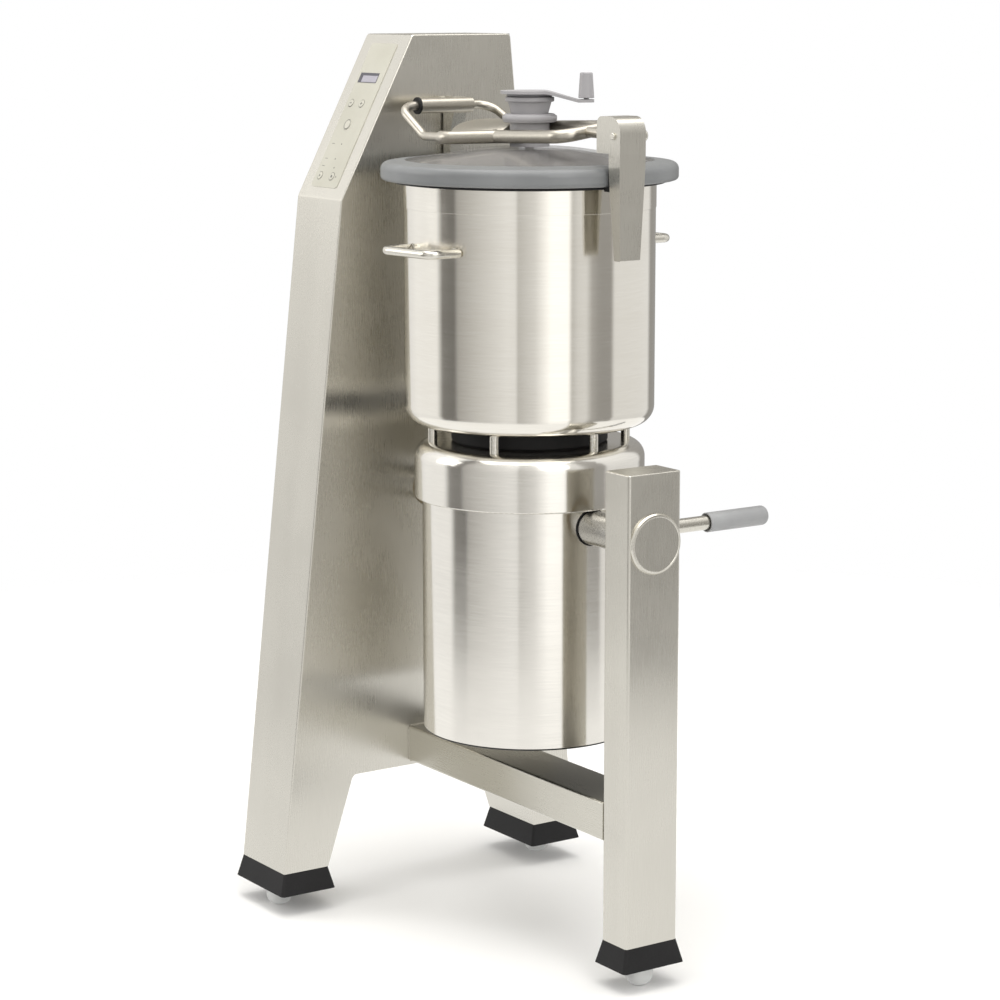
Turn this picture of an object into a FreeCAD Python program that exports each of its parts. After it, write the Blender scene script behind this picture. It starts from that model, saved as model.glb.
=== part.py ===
import FreeCAD, Part
import Sketcher
import math
import os

# Vertical cutter mixer, floor standing, with a tilting bowl of about 45 litres.
# Millimetres. +X from the control column to the pivot post, +Y from front to back, +Z up.
# The origin is on the floor, in the middle of the three feet's outline.

os.makedirs("parts", exist_ok=True)
doc = FreeCAD.newDocument("cutter_mixer")
Vector = FreeCAD.Vector
EACH_WAY_ROUND = 360

SIZES = {
    # Whole machine
    "overall_height": 1400,
    "bowl_axis": 48,
    "pivot_height": 678,
    "sheet_wall": 3,
    "weld_gap": 0.05,
    "running_gap": 0.05,
    "seat_gap": 0.3,
    # Control column
    "column_width": 136,
    "column_foot_front": 285,
    "column_bend_front": 164,
    "panel_rise": 254,
    "column_top_front": 31,
    "column_top_rear": 156,
    "column_edge_round": 2.4,
    "leg_bottom": 70,
    "leg_width": 82,
    "arch_half": 154,
    "beam_sill": 7,
    "arch_round": 10,
    "bend_round": 7,
    # Control panel
    "overlay_width": 78,
    "overlay_low": 18,
    "overlay_height": 252,
    "overlay_wall": 0.8,
    "overlay_round": 6,
    "display_width": 55,
    "display_length": 17,
    "display_place": 209,
    "display_shift": -4,
    "upper_key_row": 164,
    "middle_key_row": 127,
    "lower_key_row": 37,
    "left_key_shift": -24,
    "plus_key_shift": 8,
    "set_key_shift": -7,
    "stop_key_shift": 12,
    "key_radius": 6,
    "set_key_radius": 9,
    "key_rise": 1.8,
    "key_stem": 8,
    "key_gap": 0.3,
    # Drive unit and supply inlet
    "drive_width": 84,
    "drive_depth": 150,
    "drive_height": 260,
    "drive_rise": 182,
    "drive_front": -40,
    "fin_pitch": 12,
    "fin_slot": 6,
    "fin_depth": 20,
    "gland_place": 60,
    "gland_bore": 8.5,
    "gland_thread": 12.5,
    "gland_nut": 17,
    "gland_drop": 16,
    "gland_rise": 14,
    # Post and beam
    "post_inner": 308,
    "post_width": 60,
    "post_depth": 94,
    "post_wall": 4,
    "post_head": 104,
    "post_round": 4,
    "beam_gap": 58,
    "beam_height": 59,
    "beam_round": 4,
    "disc_radius": 44,
    "disc_wall": 5,
    # Feet
    "shoe_bottom": 35,
    "shoe_flare": 9,
    "foot_place": 256,
    "foot_radius": 21,
    "foot_flat": 5,
    # Pivots
    "trunnion_radius": 26,
    "journal_radius": 24,
    "journal_bore": 16,
    "journal_length": 34,
    "bush_wall": 4,
    "bush_flange": 3,
    "bush_flange_radius": 34,
    "bush_length": 26,
    "index_radius": 15,
    "index_inset": 45,
    "index_flange": 30,
    "index_notch": 5.3,
    "index_notch_depth": 6,
    # Tilt lever
    "lever_inset": 30,
    "lever_radius": 11,
    "lever_end": 200,
    "lever_bore": 5.3,
    "grip_radius": 15,
    "grip_start": 165,
    "grip_end": 278,
    "grip_round": 7,
    "grip_mouth": 13,
    "grip_mouth_depth": 4,
    "grip_chamber": 206,
    "pin_radius": 5,
    "pin_gap": 0.5,
    "pin_end": 262,
    # Motor
    "housing_radius": 165,
    "housing_wall": 3,
    "motor_drop": 338,
    "seam_margin": 1,
    "collar_step": 12,
    "collar_height": 85,
    "collar_plate": 8,
    "collar_round": 24,
    "bottom_round": 6,
    "stator_radius": 110,
    "stator_bore": 62,
    "air_gap": 0.8,
    "shield_lift": 60,
    "shield_pitch": 238,
    "shield_wall": 10,
    "bearing_radius": 40,
    "bearing_height": 18,
    "shaft_radius": 17,
    "shaft_lift": 45,
    # Bowl
    "stud_inset": 13,
    "stud_radius": 7,
    "stud_phase": 5,
    "neck_radius": 56,
    "neck_collar": 34,
    "neck_rise": 20,
    "stud_length": 28,
    "bowl_radius": 191,
    "bowl_wall": 3,
    "bowl_round": 28,
    "bowl_depth": 329,
    "band_height": 36.7,
    "band_step": 0.8,
    "handle_rod": 6.5,
    "handle_lift": 272,
    "handle_half": 58,
    "handle_reach": 50,
    "handle_bend": 16,
    "handle_turn": 5,
    # Knife
    "skirt_radius": 42,
    "skirt_height": 18,
    "hub_radius": 26,
    "hub_height": 118,
    "knife_nut_radius": 20,
    "knife_nut_height": 16,
    "blade_tip_gap": 11,
    "blade_wall": 4,
    "blade_ring": 8,
    "blade_step": 32,
    "blade_clear": 6,
    "blade_shorter": 12,
    "blade_root": 20,
    "blade_sweep": 42,
    "blade_point": 16,
    # Lid
    "seal_inset": 7,
    "seal_spread": 15,
    "seal_height": 4,
    "rim_reach": 34,
    "rim_inset": 15,
    "rim_height": 26,
    "rim_round": 11,
    "rim_ledge": 12,
    "dome_crown": 20,
    "dome_lift": 29,
    "dome_wall": 4,
    "dome_flat": 60,
    "hinge_stand": 9,
    "hinge_lift": 103,
    "sleeve_radius": 12,
    "sleeve_half": 49,
    "yoke_rod": 7,
    "yoke_half": 85,
    "yoke_run": 72,
    "yoke_tail": 48,
    "yoke_high_bend": 28,
    "yoke_low_bend": 25,
    "arm_lift": 60,
    "arm_tube": 10,
    "loop_back": 48,
    "loop_inset": 100,
    "loop_half": 41,
    "loop_bar": 10,
    "link_bar": 7.5,
    "arm_rise": 12,
    "loop_round": 24,
    "web_wall": 5,
    "web_back": 21,
    "web_half": 80,
    "stem_radius": 30,
    "flange_radius": 40,
    "flange_lift": 85,
    "flange_height": 13,
    "cup_low_radius": 28,
    "cup_high_radius": 35,
    "cup_height": 25,
    # Lid wiper and crank
    "wiper_shaft": 7,
    "wiper_clear": 6,
    "wiper_height": 32,
    "wiper_wall": 6,
    "crank_disc": 44,
    "crank_lift": 9,
    "crank_wall": 4.5,
    "crank_reach": 85,
    "crank_tip": 12,
    "crank_drop": 13,
    "crank_angle": 55,
    "knob_low_radius": 12,
    "knob_high_radius": 9.5,
    "knob_height": 38,
    "knob_stud": 4,
    # Clamp
    "clamp_pin_lift": 74,
    "clamp_pin_radius": 5,
    "clamp_eye": 11,
    "clamp_eye_half": 9,
    "clamp_half": 23,
    "clamp_foot_half": 18,
    "clamp_stand": 8,
    "clamp_pin_inset": 11,
    "clamp_roof_rise": 28,
    "clamp_roof_wall": 4,
    "clamp_cheek": 4,
    "clamp_drop": 179,
    "clamp_foot_inset": 22,
    "clamp_foot_width": 15,
    "clamp_back_inset": 27,
    "clamp_head_drop": 25,
    "clamp_head_reach": 30,
    "clamp_waist_drop": 40,
    "clamp_back_round": 23,
    "clamp_front_round": 12,
    "pin_head_radius": 9,
    "pin_head_length": 12,
    "pad_hook": 10,
    "pad_wall": 5,
    "pad_half": 18,
    # Lid hinge upright
    "upright_stand": 22,
    "upright_wall": 20,
    "upright_near": 24,
    "upright_seat": 11,
    "upright_bite": 11,
    "upright_width": 24,
    "upright_clear": 4,
    "upright_foot_height": 58,
    "upright_knee": 120,
    "upright_knee_round": 60,
}

WORKED_OUT = {
    "column_bend_height": "overall_height - panel_rise",
    "drive_bottom": "pivot_height + drive_rise",
    "post_top": "pivot_height + post_head",
    "housing_bottom": "pivot_height - motor_drop",
    "beam_bottom": "housing_bottom - beam_gap - beam_height",
    "arch_top": "beam_bottom - beam_sill",
    "collar_radius": "housing_radius + collar_step",
    "index_start": "post_inner - index_inset",
    "lever_place": "post_inner - lever_inset",
    "housing_seam": "pivot_height + trunnion_radius + seam_margin",
    "collar_top": "housing_seam + collar_height",
    "shield_low": "housing_bottom + shield_lift",
    "shield_high": "shield_low + shield_pitch",
    "shaft_bottom": "housing_bottom + shaft_lift",
    "bowl_bottom": "collar_top + stud_length",
    "neck_top": "bowl_bottom + neck_rise",
    "bowl_seam": "bowl_bottom + bowl_depth",
    "bowl_edge": "bowl_seam + band_height",
    "handle_height": "bowl_bottom + handle_lift",
    "skirt_bottom": "bowl_bottom + bowl_wall * 2",
    "skirt_top": "skirt_bottom + skirt_height",
    "hub_top": "bowl_bottom + hub_height",
    "blade_first": "skirt_bottom + blade_wall / 2",
    "blade_reach": "bowl_radius - blade_tip_gap",
    "stud_circle": "bowl_radius - bowl_round - stud_inset",
    "lid_bottom": "bowl_edge + seat_gap + seal_height",
    "seal_inner": "bowl_radius - seal_inset",
    "seal_outer": "bowl_radius + seal_spread",
    "rim_radius": "bowl_radius + rim_reach",
    "rim_inner": "bowl_radius - rim_inset",
    "wiper_reach": "rim_inner - wiper_clear",
    "rim_top": "lid_bottom + rim_height",
    "dome_edge": "lid_bottom + dome_lift",
    "dome_top": "dome_edge + dome_crown",
    "hinge_height": "lid_bottom + hinge_lift",
    "hinge_place": "rim_radius + hinge_stand - bowl_axis",
    "yoke_low": "hinge_place - yoke_run",
    "yoke_end": "yoke_low - yoke_tail",
    "loop_start": "bowl_axis - loop_back",
    "arm_height": "lid_bottom + arm_lift",
    "flange_bottom": "lid_bottom + flange_lift",
    "flange_top": "flange_bottom + flange_height",
    "cup_top": "flange_top + cup_height",
    "crank_top": "cup_top + crank_lift",
    "clamp_waist": "bowl_axis + rim_radius + clamp_stand",
    "clamp_pin_place": "clamp_waist + clamp_pin_inset",
    "loop_end": "clamp_pin_place - loop_inset",
    "clamp_outer": "clamp_waist + clamp_back_inset",
    "clamp_inner": "clamp_waist - clamp_head_reach",
    "clamp_foot_outer": "clamp_waist + clamp_foot_inset",
    "clamp_foot_inner": "clamp_foot_outer - clamp_foot_width",
    "clamp_pin_height": "lid_bottom + clamp_pin_lift",
    "clamp_roof": "clamp_pin_height + clamp_roof_rise",
    "clamp_head_bottom": "clamp_pin_height - clamp_head_drop",
    "clamp_bottom": "clamp_pin_height - clamp_drop",
    "pad_toe": "bowl_axis + rim_radius - pad_hook",
    "upright_low": "housing_seam + upright_seat",
    "upright_foot": "collar_radius - bowl_axis - upright_bite",
    "upright_front": "hinge_place + upright_stand",
    "upright_back": "upright_front + upright_wall",
    "column_inner": "upright_back + upright_clear",
}


class Size:
    """A length that knows both its value and the sheet expression that gives it."""

    def __init__(self, value, text):
        self.value = float(value)
        self.text = text

    def __add__(self, other):
        other = as_size(other)
        return Size(self.value + other.value, f"({self.text} + {other.text})")

    def __sub__(self, other):
        other = as_size(other)
        return Size(self.value - other.value, f"({self.text} - {other.text})")

    def __mul__(self, other):
        other = as_size(other)
        return Size(self.value * other.value, f"({self.text} * {other.text})")

    def __truediv__(self, other):
        other = as_size(other)
        return Size(self.value / other.value, f"({self.text} / {other.text})")

    def __neg__(self):
        return Size(-self.value, f"(0 - {self.text})")

    def __radd__(self, other):
        return as_size(other) + self

    def __rsub__(self, other):
        return as_size(other) - self

    def __rmul__(self, other):
        return as_size(other) * self


def as_size(number):
    """Plain numbers become sizes, sizes stay as they are."""
    if isinstance(number, Size):
        return number
    return Size(number, repr(float(number)))


def root(size):
    return Size(math.sqrt(size.value), f"sqrt({size.text})")


def make_sheet():
    """The driving sizes, then those worked out from them, each under its own alias."""
    table = doc.addObject("Spreadsheet::Sheet", "Sizes")
    rows = list(SIZES.items())
    for name, formula in WORKED_OUT.items():
        rows.append((name, "=" + formula))
    for row, (name, value) in enumerate(rows, start=1):
        table.set(f"A{row}", name.replace("_", " "))
        table.set(f"B{row}", str(value))
        table.setAlias(f"B{row}", name)
    doc.recompute()
    return table


class Names:
    """Every size of the sheet as an attribute, such as size.bowl_radius."""

    def __init__(self, table, names):
        for name in names:
            setattr(self, name, Size(table.get(name), "Sizes." + name))


sheet = make_sheet()
size = Names(sheet, list(SIZES) + list(WORKED_OUT))
pieces = []


def bind(thing, path, length):
    """Tie a property to the sheet."""
    length = as_size(length)
    if hasattr(thing, path):
        setattr(thing, path, length.value)
    thing.setExpression(path, length.text)


def place(thing, base, axis=(0, 0, 1), angle=0):
    """Put a piece at a point held by the sheet, turned about a fixed axis."""
    base = [as_size(part) for part in base]
    angle = as_size(angle)
    point = Vector(*[part.value for part in base])
    thing.Placement = FreeCAD.Placement(point, FreeCAD.Rotation(Vector(*axis), angle.value))
    for letter, part in zip("xyz", base):
        thing.setExpression(f".Placement.Base.{letter}", part.text)
    if angle.value:
        thing.setExpression(".Placement.Rotation.Angle", angle.text)


ALONG_X = ((0, 1, 0), 90)
AGAINST_X = ((0, 1, 0), -90)
ALONG_Y = ((1, 0, 0), -90)
UPRIGHT = ((0, 0, 1), 0)


def new_body(name, base=(0, 0, 0), turn=UPRIGHT):
    body = doc.addObject("PartDesign::Body", name)
    body.Label = name
    place(body, base, turn[0], turn[1])
    pieces.append(body)
    return body


def new_sketch(body, name, plane, offset=None):
    """A sketch on one of the body's own origin planes, lifted off it if asked."""
    sketch = body.newObject("Sketcher::SketchObject", f"{body.Name}_{name}")
    origin_plane = [item for item in body.Origin.OriginFeatures if item.Role == plane][0]
    sketch.AttachmentSupport = (origin_plane, [""])
    sketch.MapMode = "FlatFace"
    if offset is not None:
        offset = as_size(offset)
        sketch.AttachmentOffset = FreeCAD.Placement(Vector(0, 0, offset.value), FreeCAD.Rotation())
        sketch.setExpression("AttachmentOffset.Base.z", offset.text)
    return sketch


def hold(sketch, kind, first, first_end, second, second_end, length):
    """A distance constraint tied to the sheet."""
    length = as_size(length)
    row = sketch.addConstraint(
        Sketcher.Constraint(kind, first, first_end, second, second_end, length.value))
    sketch.setExpression(f"Constraints[{row}]", length.text)


def hold_point(sketch, item, end, across, up):
    hold(sketch, "DistanceX", -1, 1, item, end, across)
    hold(sketch, "DistanceY", -1, 1, item, end, up)


def tangent_point(corner, towards, radius, other):
    """Where a round of this radius leaves the side from corner to towards."""
    first = (towards - corner).normalize()
    second = (other - corner).normalize()
    half = first.getAngle(second) / 2
    return corner + first * (radius / math.tan(half))


def outline(sketch, corners):
    """A closed outline of straight sides. A corner with a third value is rounded by it."""
    corners = [[as_size(part) for part in corner] for corner in corners]
    points = [Vector(corner[0].value, corner[1].value, 0) for corner in corners]
    count = len(corners)
    starts = []
    ends = []
    for index, corner in enumerate(corners):
        before = points[index - 1]
        after = points[(index + 1) % count]
        if len(corner) == 3:
            radius = corner[2].value
            ends.append(tangent_point(points[index], before, radius, after))
            starts.append(tangent_point(points[index], after, radius, before))
        else:
            ends.append(points[index])
            starts.append(points[index])
    lines = []
    for index in range(count):
        side = Part.LineSegment(starts[index], ends[(index + 1) % count])
        lines.append(sketch.addGeometry(side))
    for index, corner in enumerate(corners):
        before = lines[index - 1]
        after = lines[index]
        if len(corner) == 3:
            round_corner(sketch, corner, points[index], before, after, ends[index], starts[index])
        else:
            sketch.addConstraint(Sketcher.Constraint("Coincident", before, 2, after, 1))
            hold_point(sketch, after, 1, corner[0], corner[1])


def round_corner(sketch, corner, point, before, after, first, last):
    """An arc tangent to two sides, whose lines still meet at the corner's point."""
    radius = corner[2].value
    middle_way = ((first + last) * 0.5 - point).normalize()
    reach = math.sqrt(radius ** 2 + (first - point).Length ** 2)
    centre = point + middle_way * reach
    crown = centre - middle_way * radius
    arc = sketch.addGeometry(Part.Arc(first, crown, last))
    start = sketch.getPoint(arc, 1)
    flipped = (start - first).Length > (start - last).Length
    sketch.addConstraint(Sketcher.Constraint("Tangent", before, 2, arc, 2 if flipped else 1))
    sketch.addConstraint(Sketcher.Constraint("Tangent", after, 1, arc, 1 if flipped else 2))
    row = sketch.addConstraint(Sketcher.Constraint("Radius", arc, radius))
    sketch.setExpression(f"Constraints[{row}]", corner[2].text)
    mark = sketch.addGeometry(Part.Point(point), True)
    hold_point(sketch, mark, 1, corner[0], corner[1])
    sketch.addConstraint(Sketcher.Constraint("PointOnObject", mark, 1, before))
    sketch.addConstraint(Sketcher.Constraint("PointOnObject", mark, 1, after))


def circle(sketch, across, up, radius):
    """A circle whose centre and radius are held by the sheet."""
    across = as_size(across)
    up = as_size(up)
    radius = as_size(radius)
    centre = Vector(across.value, up.value, 0)
    ring = sketch.addGeometry(Part.Circle(centre, Vector(0, 0, 1), radius.value))
    hold_point(sketch, ring, 3, across, up)
    row = sketch.addConstraint(Sketcher.Constraint("Radius", ring, radius.value))
    sketch.setExpression(f"Constraints[{row}]", radius.text)


def box_outline(across_low, across_high, up_low, up_high, radius=None):
    """The four corners of a rectangle, rounded if a radius is given."""
    extra = [] if radius is None else [radius]
    return [
        [across_low, up_low] + extra,
        [across_high, up_low] + extra,
        [across_high, up_high] + extra,
        [across_low, up_high] + extra,
    ]


def pad(body, name, sketch, length, reverse=False):
    feature = body.newObject("PartDesign::Pad", f"{body.Name}_{name}")
    feature.Profile = sketch
    bind(feature, "Length", length)
    feature.Reversed = reverse
    return feature


def middle_pad(body, name, sketch, length):
    """A pad that grows evenly to both sides of its sketch."""
    feature = pad(body, name, sketch, length)
    feature.SideType = "Symmetric"
    return feature


def pocket(body, name, sketch, length=None, reverse=False, both=False):
    feature = body.newObject("PartDesign::Pocket", f"{body.Name}_{name}")
    feature.Profile = sketch
    if length is None:
        feature.Type = "ThroughAll"
    else:
        bind(feature, "Length", length)
    if both:
        feature.SideType = "Symmetric"
    feature.Reversed = reverse
    return feature


def turn(body, name, sketch, groove=False):
    """A full turn of the sketch about its upright axis."""
    kind = "PartDesign::Groove" if groove else "PartDesign::Revolution"
    feature = body.newObject(kind, f"{body.Name}_{name}")
    feature.Profile = sketch
    feature.ReferenceAxis = (sketch, ["V_Axis"])
    feature.Angle = EACH_WAY_ROUND
    return feature


def turned(name, profile, base, direction=UPRIGHT):
    """A lathe part: a half section, radius across and length up, turned about its axis."""
    body = new_body(name, base, direction)
    sketch = new_sketch(body, "section", "XZ_Plane")
    outline(sketch, profile)
    turn(body, "turning", sketch)
    return body


def plate(name, plane, profile, thickness, base, direction=UPRIGHT, holes=()):
    """A flat piece padded from its outline, with round holes."""
    body = new_body(name, base, direction)
    sketch = new_sketch(body, "outline", plane)
    outline(sketch, profile)
    for hole in holes:
        circle(sketch, *hole)
    pad(body, "sheet", sketch, thickness)
    return body


def round_edges(body, radius, wanted):
    """Fillet the edges that the test picks, by their middle point and length."""
    doc.recompute()
    tip = body.Tip
    names = []
    for number, edge in enumerate(tip.Shape.Edges, start=1):
        middle = edge.valueAt((edge.FirstParameter + edge.LastParameter) / 2)
        if wanted(edge, middle):
            names.append(f"Edge{number}")
    feature = body.newObject("PartDesign::Fillet", f"{body.Name}_rounds")
    feature.Base = (tip, names)
    bind(feature, "Radius", radius)
    return feature


def ring_array(body, feature, count, axis_role="Z_Axis", sweep=360, name="ring"):
    """Equal copies of a feature about one of the body's own axes."""
    array = body.newObject("PartDesign::PolarPattern", f"{body.Name}_{name}")
    array.Originals = [feature]
    axis = [item for item in body.Origin.OriginFeatures if item.Role == axis_role][0]
    array.Axis = (axis, [""])
    array.Angle = sweep
    array.Occurrences = count
    body.Tip = array
    return array


# Places worked out from the driving sizes

column_middle = -size.column_inner - size.column_width / 2
column_outer = -size.column_inner - size.column_width
column_clear = size.column_width - size.sheet_wall * 2
panel_run = size.column_bend_front - size.column_top_front
panel_tilt = Size(math.degrees(math.atan2(size.panel_rise.value, panel_run.value)),
                  f"atan({size.panel_rise.text} / {panel_run.text})")
post_outer = size.post_inner + size.post_width
post_middle = size.post_inner + size.post_width / 2
bush_radius = size.journal_radius + size.bush_wall
bowl_seat = (size.bowl_axis, 0, 0)


def column_corners(foot, rise):
    """The column seen from the side, without its arch: foot, bend, top and back."""
    return [
        [-foot, size.leg_bottom],
        [-size.column_bend_front, size.column_bend_height, size.bend_round],
        [-size.column_top_front, rise, size.bend_round],
        [size.column_top_rear, rise, size.bend_round],
        [foot, size.leg_bottom],
    ]


def column_side_plate(name, base_x, hole_radius):
    """One side of the column, with two legs and the arch between them."""
    foot = size.column_foot_front
    corners = column_corners(foot, size.overall_height)
    corners += [
        [foot - size.leg_width, size.leg_bottom],
        [size.arch_half, size.arch_top, size.arch_round],
        [-size.arch_half, size.arch_top, size.arch_round],
        [size.leg_width - foot, size.leg_bottom],
    ]
    holes = []
    if hole_radius is not None:
        holes = [(0, size.pivot_height, hole_radius)]
    return plate(name, "YZ_Plane", corners, size.sheet_wall, (base_x, 0, 0), holes=holes)


def make_column_plates():
    inner = column_side_plate(
        "column_inner_plate", -size.column_inner - size.sheet_wall, bush_radius + size.weld_gap)
    outer = column_side_plate("column_outer_plate", column_outer, None)
    for body, face in ((inner, size.sheet_wall.value), (outer, 0.0)):
        def outer_rim(edge, middle, face=face):
            on_face = abs(edge.BoundBox.XMax - face) < 0.01 and abs(edge.BoundBox.XMin - face) < 0.01
            outside_arch = abs(middle.y) > SIZES["column_foot_front"] - SIZES["leg_width"]
            above_arch = middle.z > size.arch_top.value + 1 or outside_arch
            on_hole = edge.BoundBox.YLength < SIZES["bush_flange_radius"] * 2 and abs(middle.y) < 30
            return on_face and above_arch and not on_hole and middle.z > SIZES["leg_bottom"] + 1
        round_edges(body, size.column_edge_round, outer_rim)


def mitre(before, corner, after, wall):
    """Where the inner face of a folded sheet turns: the corner moved in along both normals."""
    first_across = corner[0] - before[0]
    first_up = corner[1] - before[1]
    last_across = after[0] - corner[0]
    last_up = after[1] - corner[1]
    first_length = root(first_across * first_across + first_up * first_up)
    last_length = root(last_across * last_across + last_up * last_up)
    normal_across = first_up / first_length + last_up / last_length
    normal_up = -(first_across / first_length) - last_across / last_length
    agree = 1 + (first_across * last_across + first_up * last_up) / (first_length * last_length)
    share = wall / agree
    return [corner[0] + normal_across * share, corner[1] + normal_up * share]


def make_column_wrap():
    """Front, slanted panel and top, folded from one sheet between the side plates."""
    body = new_body("column_wrap", (column_outer + size.sheet_wall, 0, 0))
    sketch = new_sketch(body, "side", "YZ_Plane")
    outer = [[as_size(part) for part in corner]
             for corner in column_corners(size.column_foot_front, size.overall_height)]
    foot, bend, top_front, top_rear = [corner[:2] for corner in outer[:4]]
    wall = size.sheet_wall
    inner_round = size.bend_round - wall
    inner_bend = mitre(foot, bend, top_front, wall)
    inner_top = mitre(bend, top_front, top_rear, wall)
    lean = (foot[0] - bend[0]) / (bend[1] - foot[1])
    inner_foot = foot[0] + wall * root(1 + lean * lean)
    outline(sketch, outer[:3] + [
        top_rear,
        [top_rear[0], top_rear[1] - wall],
        inner_top + [inner_round],
        inner_bend + [inner_round],
        [inner_foot, foot[1]],
    ])
    pad(body, "sheet", sketch, column_clear)
    windows = body.newObject("Sketcher::SketchObject", "column_wrap_windows")
    xy_plane = [item for item in body.Origin.OriginFeatures if item.Role == "XY_Plane"][0]
    windows.AttachmentSupport = (xy_plane, [""])
    windows.MapMode = "FlatFace"
    middle = column_clear / 2
    base = Vector(middle.value, -size.column_bend_front.value, size.column_bend_height.value)
    spin = FreeCAD.Rotation(Vector(1, 0, 0), panel_tilt.value)
    windows.AttachmentOffset = FreeCAD.Placement(base, spin)
    windows.setExpression("AttachmentOffset.Base.x", middle.text)
    windows.setExpression("AttachmentOffset.Base.y", (-size.column_bend_front).text)
    windows.setExpression("AttachmentOffset.Base.z", size.column_bend_height.text)
    windows.setExpression("AttachmentOffset.Rotation.Angle", panel_tilt.text)
    for across, up, radius in KEYS.values():
        circle(windows, across, up, radius + size.key_gap)
    pocket(body, "windows", windows, size.sheet_wall * 2, both=True)


KEYS = {
    "minus_key": (size.left_key_shift, size.upper_key_row, size.key_radius),
    "plus_key": (size.plus_key_shift, size.upper_key_row, size.key_radius),
    "set_key": (size.set_key_shift, size.middle_key_row, size.set_key_radius),
    "start_key": (size.left_key_shift, size.lower_key_row, size.key_radius),
    "stop_key": (size.stop_key_shift, size.lower_key_row, size.key_radius),
}
PANEL_SEAT = (column_middle, -size.column_bend_front, size.column_bend_height)
PANEL_TURN = ((1, 0, 0), panel_tilt)


def make_overlay():
    """The thin keypad skin, with its display window and its round keys."""
    half = size.overlay_width / 2
    body = new_body("control_overlay", PANEL_SEAT, PANEL_TURN)
    sketch = new_sketch(body, "outline", "XY_Plane")
    high = size.overlay_low + size.overlay_height
    outline(sketch, box_outline(-half, half, size.overlay_low, high, size.overlay_round))
    low = size.display_place - size.display_length / 2
    high = size.display_place + size.display_length / 2
    left = size.display_shift - size.display_width / 2
    right = size.display_shift + size.display_width / 2
    gap = size.weld_gap
    outline(sketch, box_outline(left - gap, right + gap, low - gap, high + gap))
    for across, up, radius in KEYS.values():
        circle(sketch, across, up, radius + size.key_gap)
    pad(body, "skin", sketch, size.overlay_wall)
    window = new_body("display_window", PANEL_SEAT, PANEL_TURN)
    glass = new_sketch(window, "outline", "XY_Plane")
    outline(glass, box_outline(left, right, low, high))
    pad(window, "glass", glass, size.overlay_wall + 0.2)


def make_keys():
    """Round keys that travel into the panel: a domed cap on a stem."""
    slope = math.radians(panel_tilt.value)
    for name, (across, up, radius) in KEYS.items():
        top = size.key_rise
        profile = [
            [0, -size.key_stem],
            [radius, -size.key_stem],
            [radius, top, 0.8],
            [0, top],
        ]
        text = panel_tilt.text
        along = Size(up.value * math.cos(slope), f"({up.text} * cos({text}))")
        rise = Size(up.value * math.sin(slope), f"({up.text} * sin({text}))")
        seat = (column_middle + across, along - size.column_bend_front, size.column_bend_height + rise)
        turned(name, profile, seat, PANEL_TURN)


def make_column_rest():
    """Rear cover, arch liner, drive unit and the supply gland."""
    wall = size.sheet_wall
    inside = column_outer + wall
    top = size.overall_height - wall - size.seat_gap
    slope = (size.column_foot_front - size.column_top_rear) / (size.overall_height - size.leg_bottom)
    top_rear = size.column_top_rear + slope * (wall + size.seat_gap)
    rear = [
        [size.column_foot_front, size.leg_bottom],
        [top_rear, top],
        [top_rear - wall, top],
        [size.column_foot_front - wall, size.leg_bottom],
    ]
    plate("column_rear_cover", "YZ_Plane", rear, column_clear, (inside, 0, 0))
    inner_foot = size.column_foot_front - size.leg_width
    liner_top = size.arch_top + wall
    liner = [
        [inner_foot, size.leg_bottom],
        [inner_foot + wall, size.leg_bottom],
        [size.arch_half + wall, liner_top, size.arch_round + wall],
        [-size.arch_half - wall, liner_top, size.arch_round + wall],
        [-inner_foot - wall, size.leg_bottom],
        [-inner_foot, size.leg_bottom],
        [-size.arch_half, size.arch_top, size.arch_round],
        [size.arch_half, size.arch_top, size.arch_round],
    ]
    body = plate("column_arch_liner", "YZ_Plane", liner, column_clear, (inside, 0, 0))
    hole = new_sketch(body, "gland_hole", "XY_Plane", size.arch_top)
    circle(hole, column_clear / 2, size.gland_place, size.gland_thread + size.weld_gap)
    pocket(body, "gland_cut", hole, wall * 3, both=True)
    gland = [
        [size.gland_bore, -size.gland_drop],
        [size.gland_nut - 4, -size.gland_drop, 2],
        [size.gland_nut, -6],
        [size.gland_nut, 0],
        [size.gland_thread, 0],
        [size.gland_thread, wall],
        [size.gland_nut, wall],
        [size.gland_nut, wall + 6],
        [size.gland_thread, wall + 6],
        [size.gland_thread, size.gland_rise],
        [size.gland_bore, size.gland_rise],
    ]
    turned("supply_gland", gland, (column_middle, size.gland_place, size.arch_top))
    make_drive_unit(-size.column_inner - wall)


def make_drive_unit(wall_face):
    """The motor's drive electronics, a finned block bolted to the inner plate."""
    body = new_body("drive_unit", (wall_face, size.drive_front, size.drive_bottom))
    sketch = new_sketch(body, "plan", "XY_Plane")
    outline(sketch, box_outline(-size.drive_width, 0, 0, size.drive_depth, 3))
    pad(body, "block", sketch, size.drive_height)
    slot = new_sketch(body, "slot", "XY_Plane")
    first = size.fin_pitch
    back = size.fin_depth - size.drive_width
    outline(slot, box_outline(-size.drive_width - 1, back, first, first + size.fin_slot))
    cut = pocket(body, "slot_cut", slot, size.drive_height + 1, reverse=True)
    array = body.newObject("PartDesign::LinearPattern", "drive_unit_fins")
    array.Originals = [cut]
    axis = [item for item in body.Origin.OriginFeatures if item.Role == "Y_Axis"][0]
    array.Direction = (axis, [""])
    count = int((SIZES["drive_depth"] - SIZES["fin_pitch"]) / SIZES["fin_pitch"])
    array.Length = SIZES["fin_pitch"] * (count - 1)
    array.Occurrences = count
    body.Tip = array


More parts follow.
